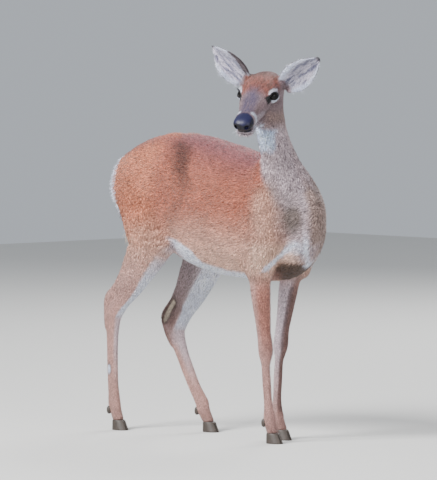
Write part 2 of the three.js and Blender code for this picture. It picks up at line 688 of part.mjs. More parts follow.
const flesh = {};
let owned = null;
for (const region of [...REGIONS, TRUNK_REGION]) {
  let piece = solidOf(surface(bodyDistance, region)).intersect(boxSolid(region)).subtract(taken);
  if (owned) piece = piece.subtract(owned);
  flesh[region.name] = piece;
  add(region.name, piece, lookOf(region.name));
  const grown = boxSolid(region, GAP);
  owned = owned ? owned.add(grown) : grown;
}

// What grows out of the flesh is cut back to it, and to the same flesh moved out by the gap.
function grownFrom(solid, root, way) {
  const step = way.clone().multiplyScalar(GAP);
  const pieces = solid.subtract(root).subtract(root.translate([...step])).decompose();
  return pieces.reduce((most, piece) => (piece.volume() > most.volume() ? piece : most));
}
for (const side of ["right", "left"]) {
  const way = new THREE.Vector3(...EAR_WAY[side]).transformDirection(headPlace);
  add(`${side}_ear`, grownFrom(earSolid(side), flesh.head, way), GREY_COAT);
}
const tail = solidOf(surface((point) => limbDistance(point, tailLimb), TAIL_REGION));
add("tail", grownFrom(tail, flesh.trunk, new THREE.Vector3(-1, 0, 0)), WHITE_COAT);

// The origin is the middle of the model's box, on the ground.
deer.scale.setScalar(WITHERS_HEIGHT / DRAWN_WITHERS);
deer.updateMatrixWorld(true);
const middle = new THREE.Box3().setFromObject(deer).getCenter(new THREE.Vector3());
deer.position.set(-middle.x, -middle.y, 0);
deer.updateMatrixWorld(true);

export default deer;
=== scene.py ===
# %% [markdown]
# # A white-tailed deer doe, life size
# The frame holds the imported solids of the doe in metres: +X is the way her body faces, +Y her
# left and Z = 0 the ground. The solids reach out to the tips of the coat. Here they get what a
# museum model has: one skin without a seam, the hair lying on it, wet eyes and nose, and horn.

# %% The frame and the tools
import math

import bmesh
import bpy
import numpy as np
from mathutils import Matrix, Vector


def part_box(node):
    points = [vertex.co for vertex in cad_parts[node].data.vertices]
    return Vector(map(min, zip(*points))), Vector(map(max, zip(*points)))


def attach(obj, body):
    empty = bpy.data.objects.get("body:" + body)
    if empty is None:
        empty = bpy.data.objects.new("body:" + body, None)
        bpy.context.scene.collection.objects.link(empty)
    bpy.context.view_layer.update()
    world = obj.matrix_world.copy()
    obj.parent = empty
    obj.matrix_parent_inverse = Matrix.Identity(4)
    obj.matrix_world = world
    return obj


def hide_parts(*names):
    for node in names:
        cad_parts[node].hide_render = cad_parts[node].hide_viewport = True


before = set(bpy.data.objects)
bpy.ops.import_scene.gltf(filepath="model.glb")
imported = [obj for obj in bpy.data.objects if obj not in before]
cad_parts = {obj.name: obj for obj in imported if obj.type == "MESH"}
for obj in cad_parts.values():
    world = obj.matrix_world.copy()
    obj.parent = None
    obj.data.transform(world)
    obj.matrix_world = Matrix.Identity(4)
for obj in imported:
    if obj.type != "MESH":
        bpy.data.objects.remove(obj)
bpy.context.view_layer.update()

import openvdb
from mathutils import Vector

MM = 0.001

# %% [markdown]
# Colours are written as the sRGB hex values that a paint chart would give. The shader works in
# linear light, so one function turns them. Another adds a shader node with its settings and links.


# %% Colours and shader nodes
def linear(code):
    """An sRGB hex colour in linear light: c / 12.92 when dark, else ((c + 0.055) / 1.055) ** 2.4."""
    value = np.array([int(code[k : k + 2], 16) / 255 for k in (0, 2, 4)])
    return np.where(value < 0.04045, value / 12.92, ((value + 0.055) / 1.055) ** 2.4)


def node(tree, kind, settings=None, **inputs):
    """Adds a node. Settings are its properties, inputs its sockets by name or place: a value to
    set, or a socket to link from."""
    made = tree.nodes.new("ShaderNode" + kind)
    for name, value in (settings or {}).items():
        setattr(made, name, value)
    for name, value in inputs.items():
        key = int(name[1:]) if name[0] == "_" and name[1:].isdigit() else name.replace("_", " ")
        socket = made.inputs[key]
        if isinstance(value, bpy.types.NodeSocket):
            tree.links.new(value, socket)
        else:
            socket.default_value = value
    return made


def material(name):
    """A new material with nothing but its Principled shader."""
    made = bpy.data.materials.new(name)
    made.use_nodes = True
    return made, made.node_tree, made.node_tree.nodes["Principled BSDF"]


# %% [markdown]
# The camera stands 16 m off with a long lens, as one does for a wild deer, a little above her
# belly. It comes first, because everything else is judged through it.

# %% The camera
CAMERA_TURN = math.radians(47)
CAMERA_RISE = math.radians(3)
CAMERA_FAR = 16.0
CAMERA_AIM = np.array([-100.0, 0.0, 610.0]) * MM  # in the shape tables' place, turned to the frame's below
SENSOR = 36.0
IMAGE_SIZE = (437, 480)
PIXELS_PER_METRE = 322

# %% [markdown]
# ## The shape
# The body is one smooth form: limbs swept along their bones and melted together. The tables
# give each limb's rings in millimetres, with the coat, as the solids have them. The skin is
# the same form moved in by the depth of the coat. Working from a distance field and not from
# separate lofts is what leaves no seam where a leg or the neck joins.

# %% The joints and the rings
HEAD_TURN, HEAD_DIP, HEAD_ROLL = -63, 20.5, -3.5  # degrees
HEAD_SCALE = 1.03
HEAD_PLACE = (214, -128, 1066)
EYE_RADIUS = 16.5
EYE_PLACE = np.array([3.0, 46.0, 3.0])
EAR_LENGTH, EAR_WIDTH, EAR_CUP = 146, 92, 20
EAR_ROOT = {-1: (-56, -54, 22), 1: (-56, 65, 12)}
EAR_WAY = {-1: (-0.06, -0.735, 0.675), 1: (-0.06, 0.76, 0.645)}
EAR_OUTWARD = 6
HOOF_HEIGHT = 32
FORE_JOINTS = {
    -1: [[180, -84, 575], [179, -64, 296], [189, -56, 88], [204, -55, 26]],
    1: [[164, 88, 588], [125, 53, 305], [112, 50, 90], [134, 50, 26]],
}
HIND_JOINTS = {
    -1: [[-350, -58, 836], [-262, -95, 592], [-486, -87, 366], [-489, -85, 88], [-469, -85, 26]],
    1: [[-350, 58, 836], [-194, 95, 578], [-379, 80, 317], [-254, 75, 90], [-222, 75, 26]],
}
HIND_TURN = {-1: 0, 1: 20}
# Legs: place along the joints, shift to the front, reach to the side, fore and aft.
FORELEG = [
    [0, 0, 32, 43, 55], [0.14, -7, 30, 40, 46], [0.29, -9, 28, 36, 38], [0.49, -8, 27, 30, 31],
    [0.71, -5, 23, 25, 25], [0.86, -3, 20.5, 22, 23], [0.96, -1, 21.5, 24, 22],
    [1.06, 0, 22, 24, 23], [1.16, -1, 18, 19, 20], [1.3, -3, 12.5, 13.5, 15],
    [1.56, -3, 12.5, 13.5, 15.5], [1.82, -2, 12, 13, 15], [2, 0, 16, 17, 20], [2.24, 0, 17, 16, 26],
    [2.46, -1, 16, 15, 23], [2.85, 0, 17, 16, 18], [3, 0, 17, 15, 17],
]  # fmt: skip
THIGH = [
    [0, 0, 40, 84, 78], [0.17, -37, 54, 126, 92], [0.41, -47, 58, 138, 98], [0.68, -43, 56, 114, 97],
    [1, -46, 49, 77, 86], [1.28, -24, 41, 55, 76], [1.5, -20, 30, 42, 57], [1.7, -19, 20, 28, 42],
]  # fmt: skip
SHANK = [
    [0.99, 14, 36, 34, 56], [1.27, 0, 33, 41, 44], [1.58, -5, 25, 41, 33], [1.8, -8, 20.5, 34, 25],
    [1.98, -3, 20.5, 30, 27], [2.1, -7, 17.5, 26, 28], [2.3, -8, 14, 19, 25], [2.55, -7, 13.5, 17, 24],
    [2.78, -5, 13.5, 16.5, 23], [2.9, -2, 14.5, 18, 23], [3, 0, 16.5, 20, 24], [3.24, 0, 17, 17, 27],
    [3.46, 0, 16, 15.5, 23], [3.84, 0, 17, 16, 18], [4, 0, 17, 15, 17],
]  # fmt: skip
HEEL = [
    [1.42, -70, 13, 34, 14], [1.62, -57, 12, 38, 10], [1.8, -55, 11, 38, 12],
    [1.92, -54, 13, 32, 15], [2.03, -33, 13, 22, 13], [2.14, -28, 12, 16, 10],
]  # fmt: skip
# The rest: x, y, z, reach to the side, to the top or front, to the underside or back, turn.
TRUNK = [
    [-510, 0, 797, 14, 24, 26], [-496, 0, 790, 48, 67, 52], [-472, 0, 778, 82, 108, 88],
    [-410, 0, 762, 108, 144, 124], [-340, 0, 760, 117, 170, 104], [-265, 0, 755, 120, 184, 162],
    [-170, 0, 735, 118, 199, 200], [-70, 0, 700, 127, 214, 194], [30, 0, 685, 127, 206, 187],
    [110, 0, 675, 115, 192, 183], [190, 0, 675, 96, 176, 175], [252, 0, 680, 76, 143, 150],
    [296, 0, 685, 57, 98, 112], [318, 0, 685, 34, 56, 66],
]  # fmt: skip
NECK = [
    [184, -58, 1080, 38, 42, 40, -58], [186, -60, 1038, 43, 50, 46, -50],
    [191, -56, 982, 47, 57, 51, -42], [198, -47, 925, 48, 60, 56, -30], [210, -29, 860, 52, 68, 66, -18],
    [220, -13, 795, 58, 81, 86, -8], [224, -3, 735, 63, 84, 96, 0], [212, 0, 680, 66, 88, 96, 0],
]  # fmt: skip
SHOULDER = [
    [156, 40, 832, 18, 48, 58], [182, 62, 776, 26, 54, 68], [203, 76, 716, 31, 52, 76],
    [223, 83, 656, 30, 46, 88], [214, 88, 606, 32, 42, 84], [187, 89, 568, 32, 42, 62],
    [168, 90, 535, 31, 41, 50],
]  # fmt: skip
TAIL = [
    [-476, 0, 850, 18, 18, 18], [-508, 0, 846, 27, 16, 17], [-530, 0, 818, 38, 14, 15],
    [-537, 0, 775, 42, 13, 14], [-537, 0, 730, 33, 12, 13], [-529, 0, 680, 25, 10, 11],
    [-519, 0, 635, 15, 7, 8], [-514, 0, 612, 5, 3, 3],
]  # fmt: skip
SKULL = [
    [-106, 0, -6, 26, 24, 34], [-88, 0, 2, 44, 36, 50], [-60, 0, 4, 53, 41, 50], [-28, 0, 4, 54, 43, 48],
    [0, 0, 1, 50, 39, 46], [25, 0, -7, 47, 34, 42], [50, 0, -14, 42, 28, 38], [80, 0, -20, 34, 24, 34],
    [110, 0, -25, 29, 22, 29], [135, 0, -28, 31, 21, 26], [150, 0, -31, 30, 18, 22],
    [160, 0, -35, 21, 10, 13],
]  # fmt: skip
JAW = [
    [-78, 0, -52, 26, 26, 28], [-50, 0, -63, 29, 24, 31], [-15, 0, -68, 26, 20, 25],
    [30, 0, -67, 20, 15, 17], [70, 0, -66, 18, 12, 12], [105, 0, -64, 22, 11, 11],
    [128, 0, -61, 26, 9, 11], [144, 0, -58, 23, 6, 9],
]  # fmt: skip
# Round forms on both sides of the head: centre on the left, radii and melt.
HEAD_BUMPS = [
    [(-5, 41, 16), (27, 15, 13), 12],
    [(-40, 33, -46), (38, 18, 36), 20],
    [(-60, 50, 19), (22, 17, 23), 16],
    [(148, 14, -28), (12, 9, 10), 6],
]


# %% Limbs as rings
def turned(axis, degrees):
    """The 3 x 3 matrix of a turn about an axis."""
    x, y, z = np.eye(3)["xyz".index(axis)]
    c, s = math.cos(math.radians(degrees)), math.sin(math.radians(degrees))
    cross = np.array([[0, -z, y], [z, 0, -x], [-y, x, 0]])
    return np.eye(3) + s * cross + (1 - c) * cross @ cross


HEAD_AXES = turned("z", HEAD_TURN) @ turned("y", HEAD_DIP) @ turned("x", HEAD_ROLL)


def from_head(points):
    """Places in the head's frame (x to the nose, y to her left, z to the crown) moved to the body's."""
    return np.asarray(points) @ HEAD_AXES.T * HEAD_SCALE + HEAD_PLACE


def to_head(points):
    """The way back: places of the body in the head's frame."""
    return (points - HEAD_PLACE) @ HEAD_AXES / HEAD_SCALE


def unit(v):
    return v / np.maximum(np.linalg.norm(v, axis=-1, keepdims=True), 1e-9)


def row_at(rows, place):
    """A table's values on a Catmull-Rom curve through its rows, at places counted in rows."""
    i = np.minimum(place.astype(int), len(rows) - 2)
    t = (place - i)[:, None]
    p, q, r, s = (rows[np.clip(i + k, 0, len(rows) - 1)] for k in (-1, 0, 1, 2))
    return q + 0.5 * t * (r - p + t * (2 * p - 5 * q + 4 * r - s + t * (3 * q - p - 3 * r + s)))


def chain_way(joints, place):
    """The direction along a chain of joints, turning smoothly past each one."""
    ways = unit(np.diff(joints, axis=0))
    i = min(max(int(place), 0), len(joints) - 2)
    t, bend = place - i, 0.15
    if t < bend and i > 0:
        mix = 0.5 + 0.5 * t / bend
        return unit(ways[i - 1] * (1 - mix) + ways[i] * mix)
    if t > 1 - bend and i < len(joints) - 2:
        mix = 0.5 * (t - 1 + bend) / bend
        return unit(ways[i] * (1 - mix) + ways[i + 1] * mix)
    return ways[i]


def along_joints(joints, rows, turn=0):
    """A leg's rows with their places worked out along its joints."""
    joints = np.array(joints, float)
    placed = []
    for place, shift, *reach in rows:
        i = min(max(int(place), 0), len(joints) - 2)
        way = chain_way(joints, place)
        twist = turn * min(max(place - 0.6, 0), 1)
        across = turned("z", twist) @ (0, 1, 0)
        across = unit(across - way * (across @ way))
        centre = joints[i] + (joints[i + 1] - joints[i]) * (place - i)
        placed.append([*(centre + np.cross(way, across) * shift), *reach, twist])
    return placed


class Limb:
    """Rings along a line: centre, direction run along it, across and up, reach to each side."""

    def __init__(self, name, rows, melt=20, square=2, flow=1, in_head=False, steps=4):
        rows = np.array([list(row) + [0] * (7 - len(row)) for row in rows], float)
        ring = row_at(rows, np.arange(steps * (len(rows) - 1) + 1) / steps)
        self.name, self.melt, self.square, self.flow = name, melt, square, flow
        self.centre = ring[:, :3]
        self.run = unit(self.centre[np.r_[1 : len(ring), -1]] - self.centre[np.r_[0, : len(ring) - 1]])
        turn = np.radians(ring[:, 6])
        across = np.stack([-np.sin(turn), np.cos(turn), 0 * turn], -1)
        self.across = unit(across - self.run * (across * self.run).sum(-1, keepdims=True))
        self.up = np.cross(self.run, self.across)
        self.side, self.fore, self.aft = ring[:, 3:6].T * (HEAD_SCALE if in_head else 1)
        if in_head:
            self.centre = from_head(self.centre)
            self.run, self.across, self.up = (v @ HEAD_AXES.T for v in (self.run, self.across, self.up))
        for name in ("centre", "run", "across", "up", "side", "fore", "aft"):
            setattr(self, name, getattr(self, name).astype(np.float32))


def mirrored(rows):
    return [[x, -y, *rest] for x, y, *rest in rows]


BODY = [
    Limb("trunk", TRUNK, melt=48, square=2.25, flow=-1),
    Limb("neck", NECK, melt=60),
    Limb("left_shoulder", SHOULDER, melt=40),
    Limb("right_shoulder", mirrored(SHOULDER), melt=40),
    Limb("skull", SKULL, melt=34, square=2.3, flow=-1, in_head=True),
    Limb("jaw", JAW, melt=22, flow=-1, in_head=True),
]
for side, word in ((-1, "right"), (1, "left")):
    for name, rows, melt in (("thigh", THIGH, 34), ("shank", SHANK, 22), ("heel", HEEL, 16)):
        placed = along_joints(HIND_JOINTS[side], rows, HIND_TURN[side])
        BODY.append(Limb(f"{word}_{name}", placed, melt))
    BODY.append(Limb(f"{word}_foreleg", along_joints(FORE_JOINTS[side], FORELEG), 26))
BODY.append(Limb("tail", TAIL, melt=14))
TO_FRAME = np.mean(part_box("left_eye"), axis=0) - from_head(EYE_PLACE) * MM
print(len(BODY), "limbs; the tables' origin lies at", TO_FRAME.round(4), "in the frame")

# %% The camera, placed
camera = bpy.data.objects.new("camera", bpy.data.cameras.new("camera"))
bpy.context.collection.objects.link(camera)
bpy.context.scene.camera = camera
towards = np.array(
    [
        math.sin(CAMERA_TURN) * math.cos(CAMERA_RISE),
        -math.cos(CAMERA_TURN) * math.cos(CAMERA_RISE),
        math.sin(CAMERA_RISE),
    ]
)
camera.location = CAMERA_AIM + TO_FRAME + towards * CAMERA_FAR
camera.rotation_euler = (math.pi / 2 - CAMERA_RISE, 0, CAMERA_TURN)
camera.data.sensor_width = SENSOR
camera.data.lens = PIXELS_PER_METRE * CAMERA_FAR * SENSOR / max(IMAGE_SIZE)
camera.data.clip_end = 100
print("lens", round(camera.data.lens, 1), "mm")


# %% [markdown]
# A field gives, at each point of a lattice, how far that point lies outside the body. Two
# lattices are enough: a coarse one for the whole body and a fine one for the head, whose lids,
# nostrils and ears need it.

# %% Lattices
FAR = 900.0
NEAR = 1.28  # a limb's distance is worked out this many times its melt round it


class Lattice:
    """Evenly spaced points in a box."""

    def __init__(self, low, high, step):
        self.low, self.step = np.array(low, float), step
        self.shape = tuple(np.ceil((np.array(high) - self.low) / step).astype(int) + 1)

    def block(self, low, high):
        """The slices that hold the points between two corners."""
        first = np.floor((low - self.low) / self.step).astype(int)
        last = np.ceil((high - self.low) / self.step).astype(int) + 1
        bounds = zip(np.clip(first, 0, self.shape), np.clip(last, 0, self.shape))
        return tuple(slice(a, b) for a, b in bounds)

    def points(self, block):
        axes = [self.low[k] + self.step * np.arange(s.start, s.stop) for k, s in enumerate(block)]
        return np.stack(np.meshgrid(*axes, indexing="ij"), -1).astype(np.float32)

    def sample(self, values, points):
        """Values between the lattice's points, each weighed from the eight around it."""
        place = np.clip((points - self.low) / self.step, 0, np.array(self.shape) - 1.001)
        cell = place.astype(int)
        t = place - cell
        total = 0
        for corner in np.ndindex(2, 2, 2):
            weight = np.prod(np.where(corner, t, 1 - t), axis=-1)
            found = values[tuple((cell + corner).T)]
            total = total + (weight[:, None] if found.ndim > 1 else weight) * found
        return total


def stretch_distance(points, limb, i):
    """How far points lie outside the stretch between two rings: their distance from its line,
    less the reach of the section in that direction, |q| - |q| / k, with k = 1 on the surface."""
    start, way = limb.centre[i], limb.centre[i + 1] - limb.centre[i]
    q = points - start
    t = np.clip(q @ (way / (way @ way)), 0, 1)
    q -= t[..., None] * way

    def mix(values):
        return values[i] + (values[i + 1] - values[i]) * t

    def reach(ways):
        along = q @ ways[i]
        return along + (q @ ways[i + 1] - along) * t

    width, height = mix(limb.side), reach(limb.up)
    depth = np.where(height > 0, mix(limb.fore), mix(limb.aft))
    u, v = np.abs(reach(limb.across)) / width, np.abs(height) / depth
    w = np.abs(reach(limb.run)) / np.minimum(width, depth)
    k = np.hypot(u, v) if limb.square == 2 else (u**limb.square + v**limb.square) ** (1 / limb.square)
    k = np.hypot(k, w)
    far = np.linalg.norm(q, axis=-1)
    return np.where(k < 1e-5, -np.minimum(width, depth), far - far / np.maximum(k, 1e-5))


def stretches(lattice, limb, near):
    """For each stretch of a limb, the block of the lattice near it."""
    for i in range(len(limb.centre) - 1):
        width, depth = limb.side[i : i + 2].max(), np.maximum(limb.fore, limb.aft)[i : i + 2].max()
        ways = np.abs(limb.across[i]) * width + np.abs(limb.up[i]) * depth
        span = 1.05 * ways + np.abs(limb.run[i]) * min(width, depth) + near
        ends = limb.centre[i : i + 2]
        block = lattice.block(ends.min(0) - span, ends.max(0) + span)
        if all(s.stop > s.start for s in block):
            yield i, block


def melted(a, b, melt):
    """The smooth union of two distances: within melt of each other they fill the crease."""
    h = np.maximum(melt - np.abs(a - b), 0) / melt
    return np.minimum(a, b) - h * h * melt / 4


def carved(a, b, melt):
    """The smooth cut: what lies in b is taken out of a."""
    return -melted(-a, b, melt)


def ball(points, centre, radii):
    """Distance from a ball with three radii."""
    q = points - np.array(centre, np.float32)
    k = np.linalg.norm(q / np.array(radii, np.float32), axis=-1)
    return np.linalg.norm(q, axis=-1) * (1 - 1 / np.maximum(k, 1e-3))


def body_distance(lattice):
    """The distance from the whole body, limb by limb."""
    whole = np.full(lattice.shape, FAR, np.float32)
    for limb in BODY:
        own = np.full(lattice.shape, FAR, np.float32)
        for i, block in stretches(lattice, limb, NEAR * limb.melt):
            own[block] = np.minimum(own[block], stretch_distance(lattice.points(block), limb, i))
        whole = melted(whole, own, limb.melt)
    head = lattice.block(np.array(HEAD_PLACE) - 230, np.array(HEAD_PLACE) + 230)
    if all(s.stop > s.start for s in head):
        places = to_head(lattice.points(head))
        for (x, y, z), radii, melt in HEAD_BUMPS:
            for side in (-1, 1):
                bump = ball(places, (x, y * side, z), radii) * HEAD_SCALE
                whole[head] = melted(whole[head], bump, melt)
    return whole


BODY_STEP, HEAD_STEP = 5.0, 1.6
body_lattice = Lattice((-590, -170, 10), (350, 180, 1150), BODY_STEP)
body_field = body_distance(body_lattice)
print("body lattice", body_lattice.shape)


# %% [markdown]
# ## The head
# The head's lattice starts from the same field, brought to half its step, and is then carved:
# a lid rolls over each eyeball with an almond cut through it, the nostrils are commas that run
# back into the pad, the mouth is a line, and each ear is a leaf rolled into a cup that melts
# into the skull. All of it stays one form, so the hair can lie over it without a seam.


# %% The field round the head
def finer(values):
    """The same values at half the step: new ones midway, then each weighed 1 2 1 with its
    neighbours, so that no facet of the coarse lattice is left."""
    for axis in range(3):
        values = np.moveaxis(values, axis, 0)
        fine = np.empty((2 * len(values) - 1, *values.shape[1:]), np.float32)
        fine[::2] = values
        fine[1::2] = (values[1:] + values[:-1]) / 2
        fine[1:-1] = (fine[:-2] + 2 * fine[1:-1] + fine[2:]) / 4
        values = np.moveaxis(fine, 0, axis)
    return values


def smooth(x, low, high):
    """0 below low, 1 above high and 3 t^2 - 2 t^3 between; low may lie above high."""
    t = np.clip((x - low) / (high - low), 0, 1)
    return t * t * (3 - 2 * t)


def ear_frame(side):
    """An ear's root, its way to the tip, across and the way that its hollow looks, in the head."""
    way = unit(np.array(EAR_WAY[side], float))
    ahead = turned("z", EAR_OUTWARD * side) @ (1, 0, 0)
    ahead = unit(ahead - way * (ahead @ way))
    return np.array(EAR_ROOT[side], float), way, np.cross(way, ahead), ahead


def ear_places(heads, side):
    """For places in the head's frame: how far along the ear (0 to 1), how far across it (-1 to 1
    at its edges), how far ahead of its curved leaf and half its width, in millimetres."""
    root, way, across, ahead = ear_frame(side)
    q = heads - root
    along = q @ way / EAR_LENGTH
    s = np.clip(along, 0, 1)
    outline = 0.04 + 0.96 * np.sin(np.pi * (0.13 + 0.87 * s**0.85)) ** 0.8
    half = EAR_WIDTH / 2 * outline
    x = q @ across / half
    cup = EAR_CUP * np.sin(np.pi * np.minimum(1, 0.25 + 0.75 * s)) ** 0.8
    leaf = cup * (np.minimum(np.abs(x), 1.3) ** 2 - 0.45)
    return along, x, (q @ ahead - leaf) / np.hypot(1, 1.6 * cup * np.abs(x) / half), half


EAR_WALL = 1.7  # half the ear's thickness at its root, coat left out


def ear_distance(heads, side):
    """Distance from the leaf: the farthest outside of its wall, its edge and its two ends."""
    along, x, ahead, half = ear_places(heads, side)
    wall = EAR_WALL * (1.25 - 0.35 * np.clip(along, 0, 1))
    rim = (np.abs(x) - 0.94) * half * 0.9
    ends = np.maximum(along - 0.985, -0.03 - along) * EAR_LENGTH
    edge = np.maximum(rim, ends)
    body = np.abs(ahead) - wall * np.clip(-edge / 4, 0.45, 1)
    return np.maximum(body, edge)


def eye_axes(side):
    """The way an eye looks, the way along its lids to the nose, and the way up across them."""
    look = unit(np.array([0.64, 0.74 * side, 0.2]))
    along = unit(np.cross((0, 0, 1), look) * -side)
    along = unit(along - look * (along @ look) + 0.16 * np.array((0, 0, -1.0)))
    return look, along, unit(np.cross(along, look) * side)


LID_WIDTH, UPPER_LID, LOWER_LID = 0.9, 0.62, 0.45  # the opening's reach, in eye radii


def eye_place(side):
    """Middle of one eye in the head's own millimetres."""
    return EYE_PLACE * (1, side, 1)


def tear_corner(side):
    """Place before one eye where its lids meet and the tear pit starts."""
    return eye_place(side) + (15, -3 * side, -6)


def lid_opening(heads, side):
    """How far places lie outside the almond between the lids, in millimetres: the parabola
    |v| = height (1 - (h / width)^2) on the ball's face, with its own height above and below."""
    look, along, up = eye_axes(side)
    q = (heads - eye_place(side)) * HEAD_SCALE / EYE_RADIUS
    far = np.maximum(np.linalg.norm(q, axis=-1), 1e-3)
    h, v, f = q @ along / far, q @ up / far, q @ look
    height = np.where(v > 0, UPPER_LID, LOWER_LID)
    almond = (np.abs(v) - height * (1 - (h / LID_WIDTH) ** 2)) * EYE_RADIUS
    return almond / np.hypot(1, 1.2 * h), far * EYE_RADIUS, f * EYE_RADIUS, h, v


def segment(points, start, end):
    """Distance from the straight line between two places, and how far along it, 0 to 1."""
    start, way = np.array(start, float), np.array(end, float) - start
    t = np.clip((points - start) @ way / (way @ way), 0, 1)
    return np.linalg.norm(points - start - t[..., None] * way, axis=-1), t


MOUTH_X, MOUTH_Z, MOUTH_SLOPE = (90, 158), -57.5, 0.045  # corner to front, height, fall


def carve_head(field, lattice):
    """Adds lids, tear pits, nostrils, mouth and ears to the head's field."""

    def near(centre, reach):
        middle = from_head(np.array(centre, float))
        block = lattice.block(middle - reach, middle + reach)
        return block, to_head(lattice.points(block).astype(np.float32)).astype(np.float32)

    for side in (-1, 1):
        block, heads = near(eye_place(side), 34)
        almond, far, front, _, v = lid_opening(heads, side)
        lids = melted(field[block], far - EYE_RADIUS - 2.2, 7)
        crease = 1.0 * np.exp(-(((almond - 5.2) / 1.3) ** 2)) * (v > 0)
        crease = crease - 0.9 * np.exp(-(((almond - 2) / 1.6) ** 2))
        under = 0.8 * np.exp(-(((almond - 6.5) / 1.6) ** 2)) * (v < 0)
        lids += (crease + under) * (front > 4)
        hollow = np.maximum(np.maximum(almond, 0.72 * EYE_RADIUS - far), -front)
        lids = carved(lids, hollow, 1.6)
        corner = tear_corner(side)
        pit, t = segment(heads, corner, corner + (15, -5.5 * side, -11))
        field[block] = lids + 1.3 * np.exp(-((pit / (2.6 - t)) ** 2))

        block, heads = near((150, 16 * side, -32), 24)
        hole = ball(heads, (163, 15.5 * side, -35), (9, 5.4, 6))
        slit, t = segment(heads, (160, 18 * side, -32), (145, 28.5 * side, -25))
        slit = slit - 2.9 + 1.3 * t
        field[block] = carved(field[block], melted(hole, slit, 3), 2.5)

        root, way, _, ahead = ear_frame(side)
        block, heads = near(root + way * EAR_LENGTH * 0.48, 92)
        field[block] = melted(field[block], ear_distance(heads, side) * HEAD_SCALE, 9)
        bowl = ball(heads, root + way * 18 + ahead * 17, (13, 13, 20))
        field[block] = carved(field[block], bowl, 5)

    block, heads = near((128, 0, -52), 48)
    x, y, z = np.moveaxis(heads, -1, 0)
    line = z - MOUTH_Z + MOUTH_SLOPE * (MOUTH_X[1] - x) - 3.0 * smooth(np.abs(y), 12, 26)
    inside = smooth(x, MOUTH_X[0] - 4, MOUTH_X[0] + 6)
    field[block] += 1.9 * inside * np.exp(-((line / 1.5) ** 2))
    field[block] += 1.5 * np.exp(-((y / 1.4) ** 2)) * smooth(x, 150, 156) * smooth(z, -31, -38) * (line > 0)
    return field


head_base = Lattice((70, -316, 905), (425, 30, 1230), 2 * HEAD_STEP)
head_lattice = Lattice(head_base.low, head_base.low, HEAD_STEP)
head_field = finer(body_distance(head_base))
head_lattice.shape = head_field.shape
print("head lattice", head_lattice.shape)

# %% [markdown]
# The coat's depth is what the skin is moved in by: deep over the trunk and thin on the face and
# the feet.


# %% The coat's depth
def head_share(points):
    """1 on the head and 0 on the neck, across the throat and the nape."""
    heads = to_head(points)
    return smooth(heads[..., 2] - 0.26 * heads[..., 0], -106, -66)


def coat_depth(points):
    """Millimetres of coat: by height on the legs, deeper behind the haunch, thin on the head."""
    x, _, z = np.moveaxis(points, -1, 0)
    depth = 1.3 + 3.9 * smooth(z, 300, 620)
    depth = depth + 2.0 * smooth(x, -400, -520) * smooth(z, 560, 700)
    return depth + (1.3 - depth) * head_share(points) * smooth(z, 900, 940)


CUT_AXES = HEAD_AXES @ turned("y", 14.5)
CUT_PLACE = np.array(HEAD_PLACE) + CUT_AXES @ (0, 0, -112)
CUT_WAY = CUT_AXES @ (0, 0, 1)
CUT_GAP = 2.2  # millimetres between the two meshes, bridged below
every = tuple(slice(0, n) for n in body_lattice.shape)
body_field += coat_depth(body_lattice.points(every))
every = tuple(slice(0, n) for n in head_lattice.shape)
head_field += coat_depth(head_lattice.points(every))
head_field = carve_head(head_field, head_lattice)


# %% One skin from the two lattices
def surface(lattice, field, ease, reach=4.0):
    """The field's zero as vertices and triangles, in millimetres. Where the surface is flat to
    within ease, the cells are merged into larger ones."""
    grid = openvdb.FloatGrid(background=reach)
    grid.copyFromArray(np.ascontiguousarray(np.clip(field, -reach, reach), np.float32))
    points, triangles, quads = grid.convertToPolygons(isovalue=0.0, adaptivity=ease)
    triangles = np.concatenate([triangles, quads[:, [0, 1, 2]], quads[:, [0, 2, 3]]])
    return points * lattice.step + lattice.low, triangles


def largest(points, triangles):
    """Only the biggest piece of a mesh: labels spread along the triangles until none changes."""
    label = np.arange(len(points))
    while True:
        new = label.copy()
        np.minimum.at(new, triangles.ravel(), np.repeat(label[triangles].min(1), 3))
        new = new[new]
        if (new == label).all():
            break
        label = new
    names, sizes = np.unique(label[triangles[:, 0]], return_counts=True)
    return points, triangles[label[triangles[:, 0]] == names[sizes.argmax()]]


def kept(points, triangles, keep):
    """The part of a mesh on one side of the cut, trimmed clean along the cut's plane."""
    side = (points - CUT_PLACE) @ CUT_WAY * keep
    triangles = triangles[(side[triangles] > -4 * BODY_STEP).any(1)]
    used, renamed = np.unique(triangles, return_inverse=True)
    mesh = bpy.data.meshes.new("half")
    mesh.from_pydata(points[used], [], renamed.reshape(-1, 3))
    made = bmesh.new()
    made.from_mesh(mesh)
    bpy.data.meshes.remove(mesh)
    everything = made.verts[:] + made.edges[:] + made.faces[:]
    place = CUT_PLACE + CUT_WAY * keep * CUT_GAP / 2
    bmesh.ops.bisect_plane(made, geom=everything, plane_co=place, plane_no=CUT_WAY * -keep, clear_outer=True)
    return made


def ground_cut(field, lattice):
    """Ends the legs in the hooves' tops."""
    height = lattice.low[2] + lattice.step * np.arange(lattice.shape[2])
    return carved(field, (height - HOOF_HEIGHT + 2)[None, None, :], 3)


body_field = ground_cut(body_field, body_lattice)
BODY_EASE, HEAD_EASE = 0.01, 0.005
whole = kept(*largest(*surface(body_lattice, body_field, BODY_EASE)), -1)
head = kept(*largest(*surface(head_lattice, head_field, HEAD_EASE)), 1)
head_mesh = bpy.data.meshes.new("head_half")
head.to_mesh(head_mesh)
whole.from_mesh(head_mesh)
bpy.data.meshes.remove(head_mesh)
rims = [edge for edge in whole.edges if edge.is_boundary]
bmesh.ops.bridge_loops(whole, edges=rims)
bmesh.ops.triangulate(whole, faces=[face for face in whole.faces if len(face.verts) > 3])
bmesh.ops.recalc_face_normals(whole, faces=whole.faces)
print("open edges left:", sum(edge.is_boundary for edge in whole.edges), "of", len(rims))


def into_frame(points):
    return np.asarray(points) * MM + TO_FRAME


